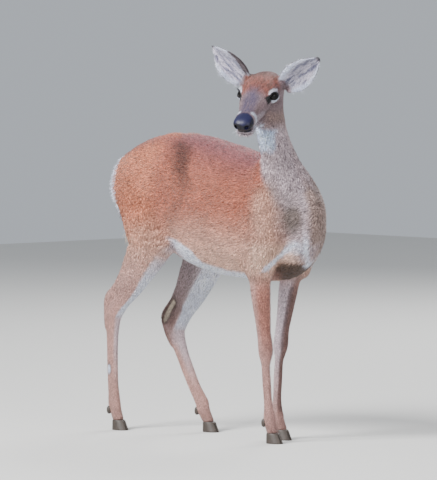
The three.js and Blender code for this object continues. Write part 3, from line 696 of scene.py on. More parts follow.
skin_mesh = bpy.data.meshes.new("skin")
whole.to_mesh(skin_mesh)
head.free()
whole.free()
skin = bpy.data.objects.new("skin", skin_mesh)
bpy.context.collection.objects.link(skin)
skin_points = np.empty(3 * len(skin_mesh.vertices), np.float32)
skin_mesh.vertices.foreach_get("co", skin_points)
skin_points = skin_points.reshape(-1, 3)
skin_mesh.vertices.foreach_set("co", into_frame(skin_points).astype(np.float32).ravel())
skin_mesh.shade_smooth()
FLESH = [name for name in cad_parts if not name.endswith(("eye", "hoof", "dewclaw"))]
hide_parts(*FLESH)
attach(skin, "root")
print("skin:", len(skin_mesh.polygons), "faces for", len(FLESH), "nodes")


# %% [markdown]
# ## The markings
# Her summer coat is rufous on the body, grey-brown on the neck and along the back, tan on the
# legs and white underneath, inside the thighs, on the throat, round the muzzle and in the ears.
# One function gives the colour at any place of the body, so the skin and every tuft agree.


# %% Noise and blends
def noise(points, size, seed):
    """Smooth random values about 0: random numbers on a lattice of that size, eased between."""
    table = np.random.default_rng(seed).uniform(-1, 1, (32, 32, 32)).astype(np.float32)
    place = points / size
    cell = np.floor(place).astype(int)
    t = place - cell
    t = t * t * (3 - 2 * t)
    total = 0
    for corner in np.ndindex(2, 2, 2):
        weight = np.prod(np.where(corner, t, 1 - t), axis=-1)
        total = total + weight * table[tuple(((cell + corner) % 32).T)]
    return total


def blob(points, centre, radii):
    """1 at a centre and 0 outside an ellipsoid round it, eased between."""
    far = np.linalg.norm((points - np.array(centre)) / np.array(radii), axis=-1)
    return smooth(far, 1, 0.35)


def line_mask(points, start, end, wide):
    """1 on a straight line and 0 past its width."""
    return smooth(segment(points, start, end)[0], wide, 0.25 * wide)


def path_mask(points, places, wide):
    """1 on a line through several places and 0 past its width."""
    return np.max([line_mask(points, a, b, wide) for a, b in zip(places, places[1:])], axis=0)


COAT_COLOURS = {
    "rufous": "a9614b",
    "haunch": "cb7d5e",
    "back": "764750",
    # painted shadow in the flank's crease
    "fold_shadow": "4a2a22",
    "flank": "dfb8a4",
    "neck": "b3a1a6",
    "shoulder": "9a8278",
    "olive": "50453a",
    "pale": "d9cfdb",
    "leg": "c69a93",
    # dark brown of the joints and lower legs, also used for painted shade on the legs
    "leg_dark_and_shade": "614540",
    # white hair, tinted blue as painted cool shade
    "white": "e0e6fa",
    "cream": "e2d3c0",
    "brown": "3f2b1f",
    "black": "161314",
    "brow": "9a5444",
    "bridge": "474266",
    "cheek": "8c757a",
    "ear_back": "4e4247",
    "ear_skin": "6f6681",
    "nose": "0b0a12",
    # painted reflection of the sky on the top of the wet nose pad
    "nose_sky_sheen": "1b1b3c",
    # the throat patch's white, bluer and darker: painted cool shade
    "throat": "cbdaf7",
}
PAINT = {name: linear(code) for name, code in COAT_COLOURS.items()}

# Where the neck's grey meets the rufous trunk, the painted shadow in the flank's crease and the
# belly's white edge: heights or places with the x or z of the line there.
NECK_EDGE = ([560, 645, 714, 767, 848, 905, 960], [280, 277, 265, 232, 178, 130, 40])
FOLD_SHADOW_LINE = ([560, 632, 690, 738, 775, 812, 853, 888, 922],
             [-185, -190, -180, -150, -122, -140, -160, -173, -205])  # fmt: skip
WHITE_EDGE = ([-240, -170, -105, -78, 32, 110], [628, 604, 575, 547, 521, 521])
THROAT_WAY = (0.42, -0.9, 0.1)
BRISKET_STRIPES = {
    -1: [(306, -46, 622), (286, -56, 606), (246, -77, 577), (217, -97, 545)],
    1: [(306, -28, 790), (326, -32, 745), (334, -35, 676), (332, -32, 636), (324, -28, 602), (300, 6, 552)],
}


class Markings:
    """Colours at places, laid on one over the other."""

    def __init__(self, points, start):
        self.colour = np.tile(PAINT[start], (len(points), 1))

    def lay(self, name, share):
        self.colour += (PAINT[name] - self.colour) * np.clip(share, 0, 1)[:, None]


def leg_line(points, joints):
    """For places near a leg: the place along its joints, how far ahead of the leg's line and how
    far from it, in millimetres."""
    joints = np.array(joints, float)
    best = np.full(len(points), np.inf)
    place, ahead = np.zeros(len(points)), np.zeros(len(points))
    for i, (start, end) in enumerate(zip(joints, joints[1:])):
        far, t = segment(points, start, end)
        nearer = far < best
        middle = start + t[:, None] * (end - start)
        place = np.where(nearer, i + t, place)
        ahead = np.where(nearer, (points - middle)[:, 0], ahead)
        best = np.minimum(far, best)
    return place, ahead, best


def markings(points, normals):
    """The coat's linear colour at places of the body, with the way the surface looks there."""
    x, y, z = points.T
    nx, _, nz = normals.T
    soft = noise(points, 46, 1)
    fine = noise(points, 13, 2)
    wave = 14 * soft
    out = Markings(points, "rufous")
    lay = out.lay
    # the barrel: a grey-brown saddle along the back, tan low on the flank, a painted shadow in the flank's
    # crease
    lay("back", 0.72 * smooth(nz, 0.15, 0.85) * smooth(x, -300, -150))
    lay("back", 0.35 * smooth(nz, 0.55, 1))
    lay("haunch", 0.85 * smooth(x, -225, -310) * smooth(nz, 0.9, 0.5))
    lay("flank", 0.55 * blob(np.stack([x, np.abs(y), z], -1), (222, 90, 715), (80, 90, 130)))
    lay("flank", 0.6 * smooth(z + wave, 730, 570))
    lay("flank", 0.5 * smooth(z + wave, 620, 470))
    # painted shadow in the flank's crease: full on her right, half on her left, fading over the top
    fold_shadow = smooth(np.abs(x + 16 * soft - np.interp(z, *FOLD_SHADOW_LINE)), 62, 0) * smooth(z, 600, 690)
    fold_shadow = fold_shadow * smooth(nz, 0.97, 0.7) * np.where(y < 0, 1, 0.5)
    lay("fold_shadow", fold_shadow * (0.25 + 0.55 * smooth(z, 740, 840) * smooth(z, 940, 895)))
    # the neck: grey-brown, the shoulders in front olive tan, a dark patch at the base
    edge = 13 + 26 * smooth(z, 800, 690)
    neck = smooth((x - np.interp(z, *NECK_EDGE) + 0.5 * wave) / edge, -1, 1)
    lay("neck", 0.95 * neck)
    beyond = smooth(x - 0.5 * np.abs(y + 34) + 0.10 * (z - 700), 292, 322) * smooth(y, -40, -14)
    sides = neck * smooth(z, 860, 780) * smooth(np.abs(y + 40), 26, 60)
    lay("shoulder", 0.85 * np.maximum(sides, beyond * smooth(z, 600, 640)))
    # painted highlight: a faint pale line down the front of the neck on her right
    lay("pale", 0.2 * neck * smooth(np.abs(y + 52 + 0.1 * (z - 800)), 30, 12) * smooth(z, 700, 740))
    lay("olive", 0.7 * blob(points, (306, -62, 694), (52, 44, 62)))
    lay("olive", 0.35 * blob(points, (300, -60, 720), (70, 50, 110)))
    # white underneath, two white stripes that meet on the brisket, and dark fur between the legs
    below = smooth(z - np.interp(x, *WHITE_EDGE) - 0.3 * wave, 10, -6) * smooth(nz, 0.15, -0.2)
    lay("white", 0.95 * below * smooth(x, 130, 80) * smooth(x, -240, -185))
    chest = smooth(z, 640, 600) * smooth(x, 150, 200)
    lay("flank", 0.7 * chest * smooth(x, 320, 290))
    lay("white", 0.5 * blob(points, (300, -42, 610), (46, 40, 30)))
    lay("brown", 0.95 * smooth(x, 165, 215) * smooth(z, 572, 552) * smooth(np.abs(y + 6), 76, 46))
    for side, places in BRISKET_STRIPES.items():
        lay("pale", 0.7 * path_mask(points, places, 14) * (0.12 + 0.88 * smooth(z, 680, 630)))
        lay("white", 0.85 * path_mask(points, places, 11) * smooth(z, 650, 610))
        lay("white", 0.7 * path_mask(points, [(a, -b, c) for a, b, c in places], 11) * smooth(z, 640, 600))
    for side in (-1, 1):
        legs(out, points, normals, side)
    # rump and tail: brown above, white at the edges and below
    behind = smooth(x, -468, -492) * smooth(z, 560, 640) * smooth(z, 880, 856)
    lay("white", 0.92 * behind * smooth(np.abs(y) + 6 * fine, 52, 36))
    tail = smooth(x, -505, -522) * smooth(np.abs(y), 44, 40) * smooth(z, 600, 620)
    lay("rufous", 0.9 * tail * smooth(nx, -0.2, -0.6) * smooth(np.abs(y), 28, 16))
    lay("back", 0.6 * tail * smooth(nx, -0.2, -0.6) * smooth(z, 760, 660) * smooth(np.abs(y), 22, 12))
    head = head_share(points) * smooth(z, 900, 940)
    face(out, points, normals, head, fine)
    return out.colour * (1 + 0.11 * soft + 0.10 * fine)[:, None]


# How far inwards the skin lies along the hock's tuft, from the joint's middle: top, middle, low.
HOCK_TUFT_REACH = {-1: (6, 9, 11), 1: (20, 22, 20)}
FETLOCK_SHARE, HOCK_SHARE = 0.62, 0.38  # how near the cannon's gland lies to each joint


def hock_tuft(side):
    """Places of the tarsal gland's tuft on the inner face of the hock, from the top down."""
    top, middle, low = HOCK_TUFT_REACH[side]
    hock = np.array(HIND_JOINTS[side][2], float)
    places = [(12, -top * side, 90), (-10, -middle * side, 60), (-28, -low * side, 30)]
    return [hock + place for place in places]


def cannon_gland(side):
    """Middle of the gland on the outer face of the hind cannon, between hock and fetlock."""
    hock, fetlock = np.array(HIND_JOINTS[side][2:4], float)
    return fetlock * FETLOCK_SHARE + hock * HOCK_SHARE + (-13, 13 * side, 0)


def legs(out, points, normals, side):
    """Lays one side's leg markings: pale inner faces, dark joints, painted shade on the left foreleg's
    front and on the back and inner faces of the hind legs, and the two leg glands.
    """
    x, y, z = points.T
    nx, ny, nz = normals.T
    lay = out.lay
    inner = smooth(ny * -side, 0.1, 0.7)
    own = smooth(y * side, 4, 16)
    place, ahead, far = leg_line(points, FORE_JOINTS[side])
    leg = smooth(far, 78, 48) * smooth(z, 560, 460) * own
    lay("leg", 0.9 * leg)
    lay("pale", 0.75 * leg * inner * smooth(place, 2.3, 0.8))
    # painted shade on the front of her left foreleg, the far one
    lay("leg_dark_and_shade", 0.75 * leg * smooth(nx + 0.25 * ny * side, 0.3, 0.62)
        * smooth(place, 2.4, 2.0) * (side > 0))  # fmt: skip
    lay("rufous", 0.6 * leg * smooth(nx, -0.3, 0.5) * smooth(place, 1.3, 0.7) * (side < 0))
    lay("leg_dark_and_shade", 0.35 * leg * blob(points, FORE_JOINTS[side][1], (34, 34, 34)) * smooth(ahead, 0, 14))
    lay("leg_dark_and_shade", 0.35 * leg * smooth(place, 2.1, 2.7))
    place, ahead, far = leg_line(points, HIND_JOINTS[side])
    low = own * smooth(z, 640, 460) * smooth(far, 110, 70)
    lay("leg", 0.8 * low)
    # painted shade on the back of the shank, down past the hock
    lay("leg_dark_and_shade", 0.4 * low * smooth(-nx, 0.2, 0.8) * smooth(place, 1.35, 1.6) * smooth(place, 2.3, 2.0))
    inside = inner * own * (x < -60) * smooth(z, 690, 640)
    frontal = smooth(0.75 * nx - 0.35 * nz + (0.2 if side > 0 else 0.5) * inner, 0.40, 0.56)
    lay("cream", 0.25 * inside * smooth(place, 2.2, 1.2))
    lay("pale", 0.8 * inside * smooth(place, 2.3, 1.2))
    turned_back = smooth(0.94 * nx + 0.34 * ny, 0.1, -0.35) * smooth(place, 1.0, 1.3)
    # painted shade on the inner faces of the hind leg that turn back, down to the hock
    lay("leg_dark_and_shade", 0.62 * inside * turned_back * smooth(place, 2.25, 1.9))
    lay("white", 0.95 * low * frontal * smooth(place, 0.95, 1.1) * smooth(place, 2.12, 1.85))
    lay("pale", 0.6 * low * smooth(nx + 0.4 * inner, 0.4, 0.9)
        * smooth(place, 2.9, 2.2) * smooth(place, 1.9, 2.1))  # fmt: skip
    lay("leg_dark_and_shade", 0.3 * low * smooth(place, 3.1, 3.6))
    tuft = hock_tuft(side)
    lay("brown", 0.85 * path_mask(points, tuft, 22) * smooth(ny * -side, 0.1, 0.5))
    lay("cream", 0.95 * path_mask(points, tuft, 10) * smooth(ny * -side, 0.1, 0.5))
    gland = cannon_gland(side)
    lay("brown", 0.9 * blob(points, gland, (15, 13, 27)))
    lay("white", blob(points, gland, (11, 10, 20)))


def face(out, points, normals, head, fine):
    """Lays the head's markings: brow, bridge, eye rings, cheek line, muzzle, throat and ears."""
    heads = to_head(points)
    hx, hy, hz = heads.T
    az = (normals @ HEAD_AXES).T[2]
    lay = out.lay
    strokes = noise(heads * (0.3, 1, 0.6), 4.0, 21)
    lay("cheek", head)
    lay("pale", 0.35 * head * smooth(hx, 50, 76) * smooth(hz, -14, -26) * smooth(hz, -60, -44))
    lay("shoulder", 0.6 * head * smooth(hz - 0.2 * hx, -34, -62) * smooth(hx, 40, 0))
    brow = head * smooth(hz + 0.12 * hx, -4, 12) * smooth(hx - 0.2 * np.abs(hy) + 5 * fine, 46, 14)
    brow = brow * smooth(np.abs(hy) + 3 * fine, 60, 46)
    lay("brow", 0.85 * brow)
    lay("brown", 0.55 * brow * smooth(strokes, 0.0, 0.5))
    lay("back", 0.55 * head * smooth(hx, -44, -80) * smooth(hz, 10, 26))
    lay("brown", 0.35 * brow * smooth(hx, -20, -50))
    bridge = smooth(np.abs(hy + 3) + 4 * fine, 32, 8) * smooth(hx + 8 * fine, 4, 56) * smooth(az, 0.05, 0.5)
    lay("bridge", 0.7 * head * bridge)
    lay("cheek", 0.4 * head * bridge * smooth(strokes, 0.1, 0.5))
    lay("brown", 0.35 * head * path_mask(heads, [(8, 26, 20), (52, 27, 2), (96, 24, -10)], 9))
    facing = smooth(normals @ THROAT_WAY, 0.25, 0.6)
    throat = smooth(points[:, 2] + 9 * fine, 892, 916) * smooth(hz, -90, -102)
    # the white throat patch, in a bluer and darker white: painted cool shade
    lay("throat", 0.95 * throat * facing * smooth(np.abs(hy - 12) + 5 * fine, 45, 30))
    lay("white", 0.9 * smooth(az, -0.35, -0.7) * smooth(hz, -74, -86)
        * smooth(hx, -40, 0) * smooth(hz, -130, -110))  # fmt: skip
    for side in (-1, 1):
        almond, far, front, *_ = lid_opening(heads, side)
        look, along, up = eye_axes(side)
        eye = (heads - eye_place(side)) * HEAD_SCALE
        a, u = eye @ along, eye @ up
        lid = EYE_RADIUS * np.where(u > 0, UPPER_LID, LOWER_LID) * (1 - (a / 24) ** 2)
        out_by = np.abs(u) - lid
        by = (eye @ look > -14) * smooth(far, 52, 40) * (hy * side > 8)
        lay("pale", 0.85 * by * (u > 0) * smooth(out_by, 14, 9) * smooth(np.abs(a), 24, 17))
        lay("white", 0.5 * by * (u > 0) * smooth(np.abs(out_by - 7), 5, 1.5) * smooth(np.abs(a), 20, 12))
        lay("white", 0.92 * by * (u < 0) * smooth(out_by, 15, 10) * smooth(np.abs(a + 1), 22, 14))
        lay("brown", 0.5 * by * (u < 0) * smooth(np.abs(out_by - 18), 5, 2) * smooth(np.abs(a - 4), 22, 14))
        lay("black", by * smooth(almond, 2.6, 1.6) * (front > -5))
        corner = tear_corner(side)
        lay("brown", 0.5 * line_mask(heads, corner, corner + (8, -3 * side, -5), 3))
        lay("brown", 0.5 * line_mask(heads, (52, 36 * side, -30), (6, 46 * side, -32), 8))
        lip = [(116, 22 * side, -8), (112, 30 * side, -26), (104, 24 * side, -52)]
        lay("white", 0.85 * path_mask(heads, lip, 10))
        lay("black", 0.9 * blob(heads, (132, 27 * side, -50), (17, 12, 9)))
        lay("brown", 0.6 * blob(heads, (104, 22 * side, -62), (16, 12, 9)))
        ears(out, heads, side)
    lay("white", 0.95 * head * smooth(hx, 70, 96) * smooth(hz - 0.05 * hx, -61, -65))
    lay("black", 0.9 * head * smooth(hx, 128, 136) * smooth(np.abs(hz + 60), 5.5, 3.5))
    lay("white", 0.6 * head * smooth(hx, 30, 60) * smooth(hz, -64, -70))
    pad = nose_pad(heads)
    lay("nose", pad)
    # painted reflection of the sky on the pad's upward faces
    lay("nose_sky_sheen", 0.8 * pad * smooth(az + 0.5 * fine, 0.15, 0.75))


def ear_fold(along, inner):
    """1 where the right ear's inner face is painted in its back's dark colour, as if its edge were rolled
    over: the edge line falls from the rim at two thirds of the length to the middle at the root."""
    return smooth(inner - np.interp(along, [0.0, 0.3, 0.66, 0.75], [0.25, 0.5, 0.9, 1.4]), -0.08, 0.06)


def ears(out, heads, side):
    """Lays one ear: dark behind and at the rim, pale skin with darker lines in the cup."""
    lay = out.lay
    along, x, ahead, half = ear_places(heads, side)
    across = ear_frame(side)[2]
    inner = x * np.sign(-side * across[1])
    ear = smooth(np.abs(ahead), 9, 5) * smooth(along, 0.0, 0.1) * smooth(np.abs(x), 1.25, 1.1)
    inside = ear * smooth(ahead, -0.6, 0.8)
    lay("ear_back", ear)
    lay("pale", 0.6 * (ear - inside) * smooth(along, 0.22, 0.05))
    lay("pale", inside)
    lines = noise(np.stack([along * EAR_LENGTH * 0.22, x * half, 0 * x], -1), 4.0, 30 + side)
    lay("ear_skin", 0.9 * inside * smooth(lines, -0.15, 0.35) * smooth(np.abs(x), 0.9, 0.6))
    lay("bridge", 0.7 * inside * smooth(lines, 0.25, 0.6) * smooth(np.abs(x), 0.7, 0.4))
    lay("white", 0.9 * inside * smooth(np.abs(x), 0.66, 0.86))
    lay("ear_back", (side < 0) * ear * ear_fold(along, inner))
    lay("brown", 0.6 * ear * smooth(np.abs(x), 0.94, 1.0) * smooth(along, 0.5, 0.8))
    lay("black", 0.85 * ear * smooth(along, 0.9, 0.96))


NOSE_BACK, NOSE_LOW = 121, -58


def nose_pad(heads):
    """1 on the bare wet pad of the nose: the muzzle's end, in a point up the bridge."""
    hx, hy, hz = heads.T
    back = NOSE_BACK + 0.5 * np.maximum(np.abs(hy) - 5, 0) + 0.12 * np.maximum(-hz - 30, 0)
    return smooth(hx, back - 1.5, back + 1.5) * smooth(hz, NOSE_LOW, NOSE_LOW + 3)


# %% [markdown]
# ## The coat
# Her summer hair is short and lies flat: from the nose back over the face, down the neck, back
# and down along the barrel, and down the legs. The limbs know these ways, so a third, coarse
# lattice blends their directions into one flow. Each tuft is a closed sliver of four faces that
# starts a little under the skin, bends over and ends at the coat's face.

# %% The lie of the hair
LIE_STEP = 12.0
lie_lattice = Lattice((-590, -170, 10), (350, 180, 1150), LIE_STEP)


def lie_of(lattice):
    """The limbs' directions, each weighed exp(-distance / 9 mm), and which limb is nearest."""
    flow = np.zeros((*lattice.shape, 3), np.float32)
    nearest = np.zeros(lattice.shape, int)
    best = np.full(lattice.shape, FAR, np.float32)
    for number, limb in enumerate(BODY):
        for i, block in stretches(lattice, limb, 3 * LIE_STEP):
            far = stretch_distance(lattice.points(block), limb, i)
            flow[block] += np.exp(-np.clip(far, -25, 60) / 9)[..., None] * limb.run[i] * limb.flow
            nearest[block] = np.where(far < best[block], number, nearest[block])
            best[block] = np.minimum(best[block], far)
    return unit(flow), nearest


flow, nearest_limb = lie_of(lie_lattice)


def on_ear(heads, side):
    """Which places lie on an ear, with the ear's own places."""
    along, x, ahead, _ = ear_places(heads, side)
    return (np.abs(ahead) < 7) & (along > 0.04) & (np.abs(x) < 1.3), along, x, ahead


def lie(points, normals):
    """The way that the hair points: the flow and some weight downwards, laid on the surface."""
    way = lie_lattice.sample(flow, points)
    way = way + np.array((0, 0, -0.34)) * (1 - 0.8 * head_share(points))[:, None]
    way = way + 0.16 * np.stack([noise(points, 55, seed) for seed in (11, 12, 13)], -1)
    heads = to_head(points)
    for side in (-1, 1):
        there, _, x, ahead = on_ear(heads, side)
        _, ear_way, across, _ = ear_frame(side)
        fan = ear_way + across * np.clip(x, -1, 1)[:, None] * (0.35 - 0.9 * smooth(ahead, -0.5, 0.5)[:, None])
        way = np.where(there[:, None], unit(fan) @ HEAD_AXES.T, way)
    return unit(way - normals * (way * normals).sum(-1, keepdims=True))


def limb_names(points):
    """The name of the limb or ear that places belong to."""
    cell = np.rint((points - lie_lattice.low) / LIE_STEP).astype(int)
    cell = np.clip(cell, 0, np.array(lie_lattice.shape) - 1)
    names = np.array([limb.name for limb in BODY])[nearest_limb[tuple(cell.T)]].astype("U20")
    heads = to_head(points)
    for side, word in ((-1, "right"), (1, "left")):
        names[on_ear(heads, side)[0]] = word + "_ear"
    return names


# %% Length and number of tufts
def coat_measures(points):
    """Length of the tufts in millimetres and how many stand on a square millimetre."""
    x, _, z = points.T
    heads = to_head(points)
    head = head_share(points) * smooth(z, 900, 940)
    length = 5.5 + 9.5 * smooth(z, 320, 600)
    length = length + 7 * smooth(x, -455, -515) * smooth(z, 560, 650)
    length = length + 3 * blob(points, (262, 0, 560), (90, 90, 110))
    length = length + (2.6 + 4.2 * smooth(heads[:, 0], 120, 20) - length) * head
    for side in (-1, 1):
        there, along, x, ahead = on_ear(heads, side)
        own = np.where(ahead > 0, 9.0, 5.0) * (1 - 0.6 * smooth(along, 0.7, 0.98))
        length = np.where(there, own, length)
    spacing = 1.27 + 0.078 * length
    return length, 1 / spacing**2


def scatter(rng, places, normals, triangles):
    """Places on the triangles, as many as their area and the coat's measures ask, with normals.
    A place is (1 - r) a + r (1 - s) b + r s c, with r the root of a random number."""
    corners = places[triangles]
    area = np.linalg.norm(np.cross(corners[:, 1] - corners[:, 0], corners[:, 2] - corners[:, 0]), axis=-1) / 2
    number = area * coat_measures(corners.mean(1))[1]
    number = np.floor(number + rng.random(len(number))).astype(int)
    chosen = np.repeat(np.arange(len(triangles)), number)
    r, s = np.sqrt(rng.random(len(chosen))), rng.random(len(chosen))
    weight = np.stack([1 - r, r * (1 - s), r * s], -1)[..., None]
    return (corners[chosen] * weight).sum(1), unit((normals[triangles[chosen]] * weight).sum(1))


def bare(points):
    """True where no hair grows: the nose pad, the lids' rims and the hollow between them."""
    heads = to_head(points)
    share = nose_pad(heads)
    for side in (-1, 1):
        almond, far, front, *_ = lid_opening(heads, side)
        share = np.maximum(share, (almond < 2.6) & (front > -4) & (far < EYE_RADIUS + 9))
    return share > 0.4


# %% Meshes from arrays
def mesh_of(name, vertices, triangles, colours=None, patches=None):
    """A mesh object in the frame from arrays in millimetres, with its colours and the OFBake map
    as one value for each vertex."""
    mesh = bpy.data.meshes.new(name)
    mesh.vertices.add(len(vertices))
    mesh.vertices.foreach_set("co", into_frame(vertices).astype(np.float32).ravel())
    mesh.loops.add(3 * len(triangles))
    mesh.loops.foreach_set("vertex_index", triangles.astype(np.int32).ravel())
    mesh.polygons.add(len(triangles))
    mesh.polygons.foreach_set("loop_start", np.arange(0, 3 * len(triangles), 3, dtype=np.int32))
    mesh.update(calc_edges=True)
    if colours is not None:
        set_colours(mesh, colours)
    if patches is not None:
        layer = mesh.uv_layers.new(name="OFBake")
        layer.uv.foreach_set("vector", patches[triangles.ravel()].astype(np.float32).ravel())
    made = bpy.data.objects.new(name, mesh)
    bpy.context.collection.objects.link(made)
    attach(made, "root")
    return made


def set_colours(mesh, colours):
    """Stores linear colours on the vertices, under the name that the materials read."""
    layer = mesh.color_attributes.new("coat", "FLOAT_COLOR", "POINT")
    rgba = np.ones((len(colours), 4), np.float32)
    rgba[:, :3] = np.clip(colours, 0, 1)
    layer.data.foreach_set("color", rgba.ravel())


def unwrapped(points, name):
    """Where places lie on their limb's own unwrap: round it and along it, both 0 to 1."""
    if name.endswith("_ear"):
        along, x, ahead, _ = ear_places(to_head(points), -1 if name == "right_ear" else 1)
        round_it = 0.25 + 0.23 * np.clip(x, -1, 1) + 0.5 * (ahead > 0)
    else:
        limb = next(limb for limb in BODY if limb.name == name)
        far = -2 * points.astype(np.float32) @ limb.centre.T + (limb.centre**2).sum(-1)
        ring = far.argmin(1)
        steps = np.linalg.norm(np.diff(limb.centre, axis=0), axis=-1)
        q = points - limb.centre[ring]
        along = np.r_[0, np.cumsum(steps)][ring] + (q * limb.run[ring]).sum(-1)
        up, across = (q * limb.up[ring]).sum(-1), (q * limb.across[ring]).sum(-1)
        round_it = np.arctan2(up, across) / (2 * np.pi) + 0.5
    low, high = along.min(), along.max()
    return np.stack([round_it, (along - low) / max(high - low, 1e-6)], -1) * 0.98 + 0.01


SLOTS = {"neck": "coat_grey", "skull": "coat_grey", "jaw": "coat_grey", "tail": "coat_white"}


def slot_of(name):
    """The material slot for the hair of a limb."""
    if name.endswith("ear"):
        return "coat_grey"
    return "coat_leg" if name.endswith(("shank", "heel", "foreleg")) else SLOTS.get(name, "coat_red")


# %% Tufts
TUFT_PATCH = 0.003
PIECE_TUFTS = 45000
FACES = np.array([[0, 2, 1], [1, 2, 3], [0, 1, 3], [0, 3, 2]])
PATCH = np.array([[0, -0.5], [-0.5, 0], [0.5, 0], [0, 0.5]]) * TUFT_PATCH


def tufts(rng, roots, normals, ways, length, colours, depth):
    """Slivers of four corners: root, left and right at a third of the length, and tip. The
    middle is lifted to the coat's face and the tip comes down to it again."""
    across = np.cross(normals, ways)
    ways = unit(ways + across * rng.normal(0, 0.20, (len(roots), 1)))
    across = np.cross(normals, ways)
    length = (length * rng.uniform(0.75, 1.25, len(roots)))[:, None]
    half = (0.31 + 0.060 * length) * rng.uniform(0.8, 1.2, (len(roots), 1))
    high = depth[:, None] * rng.uniform(0.35, 0.85, (len(roots), 1))
    end = depth[:, None] * rng.uniform(0.45, 1.15, (len(roots), 1))
    start = roots - normals * 0.5
    middle = roots + ways * length * 0.36 + normals * high
    tip = roots + ways * length + normals * end + across * length * rng.normal(0, 0.07, (len(roots), 1))
    corners = np.stack([start, middle - across * half, middle + across * half, tip], 1)
    tone = np.exp(rng.normal(0, 0.23, (len(roots), 1, 1)))
    tone = tone * np.where(rng.random((len(roots), 1, 1)) < 0.16, 0.55, 1)
    shade = np.array([0.6, 0.92, 0.92, 1.2])[None, :, None] * tone
    return corners, colours[:, None, :] * shade


triangles = np.empty(3 * len(skin_mesh.polygons), np.int32)
skin_mesh.polygons.foreach_get("vertices", triangles)
triangles = triangles.reshape(-1, 3)
skin_normals = np.empty(3 * len(skin_mesh.vertices), np.float32)
skin_mesh.vertices.foreach_get("normal", skin_normals)
skin_normals = skin_normals.reshape(-1, 3)
skin_bare = bare(skin_points)
# where hair grows the hide takes the coat's colour at 0.72: painted shade under the fur
set_colours(skin_mesh, markings(skin_points, skin_normals) * np.where(skin_bare, 1, 0.72)[:, None])

rng = np.random.default_rng(7)
roots, root_normals = scatter(rng, skin_points, skin_normals, triangles)
hairy = ~bare(roots)
roots, root_normals = roots[hairy], root_normals[hairy]
colours = markings(roots, root_normals)
ways = lie(roots, root_normals)
names = limb_names(roots)
lengths, depths = coat_measures(roots)[0], coat_depth(roots) + 0.3
corners, shades = tufts(rng, roots, root_normals, ways, lengths, colours, depths)
print(len(roots), "tufts,", 4 * len(roots), "triangles")

coat_pieces = []
for name in np.unique(names):
    own = np.flatnonzero(names == name)
    flat = unwrapped(roots[own], name)
    order = np.argsort(flat[:, 1])
    number = math.ceil(len(own) / PIECE_TUFTS)
    for part in range(number):
        some = order[part * len(own) // number : (part + 1) * len(own) // number]
        patches = (flat[some, None, :] + PATCH).reshape(-1, 2)
        faces = (4 * np.arange(len(some))[:, None, None] + FACES).reshape(-1, 3)
        piece = mesh_of(f"coat_{name}_{part + 1}", corners[own[some]].reshape(-1, 3), faces,
                        shades[own[some]].reshape(-1, 3), patches)  # fmt: skip
        slot_of(name)
        coat_pieces.append(piece)
most_faces = max(len(p.data.polygons) for p in coat_pieces)
print(len(coat_pieces), "coat pieces, the largest of", most_faces, "faces")


# %% [markdown]
# ## Long hair
# A few places carry longer hair that stands out from the lie: the rump and tail fringe, the
# belly's edge, the brisket, the inside of the ears, the glands, whiskers and lashes. Each hair
# is a closed three-sided prism that thins to a point and bends under its weight.


# %% Strands
STEPS = 4  # rings of a strand below its tip


def strand_faces():
    """Triangles of one strand: a base, two for each side between two rings, and the tip."""
    faces = [[0, 2, 1]]
    for ring in range(STEPS - 1):
        for k in range(3):
            a, b = 3 * ring + k, 3 * ring + (k + 1) % 3
            faces += [[a, b, b + 3], [a, b + 3, a + 3]]
    top = 3 * (STEPS - 1)
    return np.array(faces + [[top + k, top + (k + 1) % 3, 3 * STEPS] for k in range(3)])


STRAND = strand_faces()


def strands(name, rng, places, ways, length, width, tint, pull=(0, 0, -0.3), curl=0.12, flats=None):
    """A piece of strands. The place at share t is root + L (way t + pull t^2 / 2), with a sideways
    wave of curl L sin(3 t), and the radius falls as width (1 - 0.8 t)."""
    count = len(places)
    length = np.broadcast_to(length, count) * rng.uniform(0.7, 1.25, count)
    ways = unit(ways + rng.normal(0, 0.12, (count, 3)))
    across = unit(np.cross(ways, rng.normal(0, 1, (count, 3))))
    other = np.cross(ways, across)
    swing = (curl * length * rng.normal(0, 1, count))[:, None]
    rings = []
    for step in range(STEPS + 1):
        t = step / STEPS
        bend = ways * t + np.array(pull) * t * t / 2
        middle = places + length[:, None] * bend + across * swing * (math.sin(3 * t) - 0.14 * t)
        if step == STEPS:
            rings.append(middle[:, None, :])
            break
        turns = np.arange(3) * 2 * np.pi / 3
        circle = across[:, None] * np.cos(turns)[:, None] + other[:, None] * np.sin(turns)[:, None]
        rings.append(middle[:, None, :] + circle * width * (1 - 0.8 * t))
    corners = np.concatenate(rings, 1)
    each = corners.shape[1]
    faces = (each * np.arange(count)[:, None, None] + STRAND).reshape(-1, 3)
    tone = np.exp(rng.normal(0, 0.10, (count, 1, 1))) * np.linspace(0.82, 1.06, each)[:, None]
    shade = np.clip(tint[:, None, :] * tone, 0, 1)
    flats = np.tile((0.5, 0.5), (count, 1)) if flats is None else flats
    spread = np.stack([np.arange(each) % 3 - 1, np.linspace(-1, 1, each)], -1) * TUFT_PATCH / 2
    patches = (flats[:, None, :] + spread).reshape(-1, 2)
    piece = mesh_of(name, corners.reshape(-1, 3), faces, shade.reshape(-1, 3), patches)
    coat_pieces.append(piece)
    return piece


def grown(name, slot, weight, count, length, rise, tint=None, mix=1.0, width=0.42, lead=(0, 0, 0), **bend):
    """Strands at tuft roots drawn by weight, leaving the skin at a slope of rise."""
    if not (weight > 0.02).any():
        raise ValueError(f"{name} grows nowhere on the skin")
    chance = weight / weight.sum()
    own = rng.choice(len(roots), min(count, int((weight > 0.02).sum())), replace=False, p=chance)
    way = ways[own] + root_normals[own] * rise + np.array(lead)
    tints = colours[own] if tint is None else colours[own] * (1 - mix) + PAINT[tint] * mix
    flats = np.empty((len(own), 2))
    for limb in np.unique(names[own]):
        flats[names[own] == limb] = unwrapped(roots[own][names[own] == limb], limb)
    piece = strands(name, rng, roots[own] - root_normals[own] * 0.5, unit(way), length, width, tints,
                    flats=flats, **bend)  # fmt: skip
    print(name, len(own), "strands")


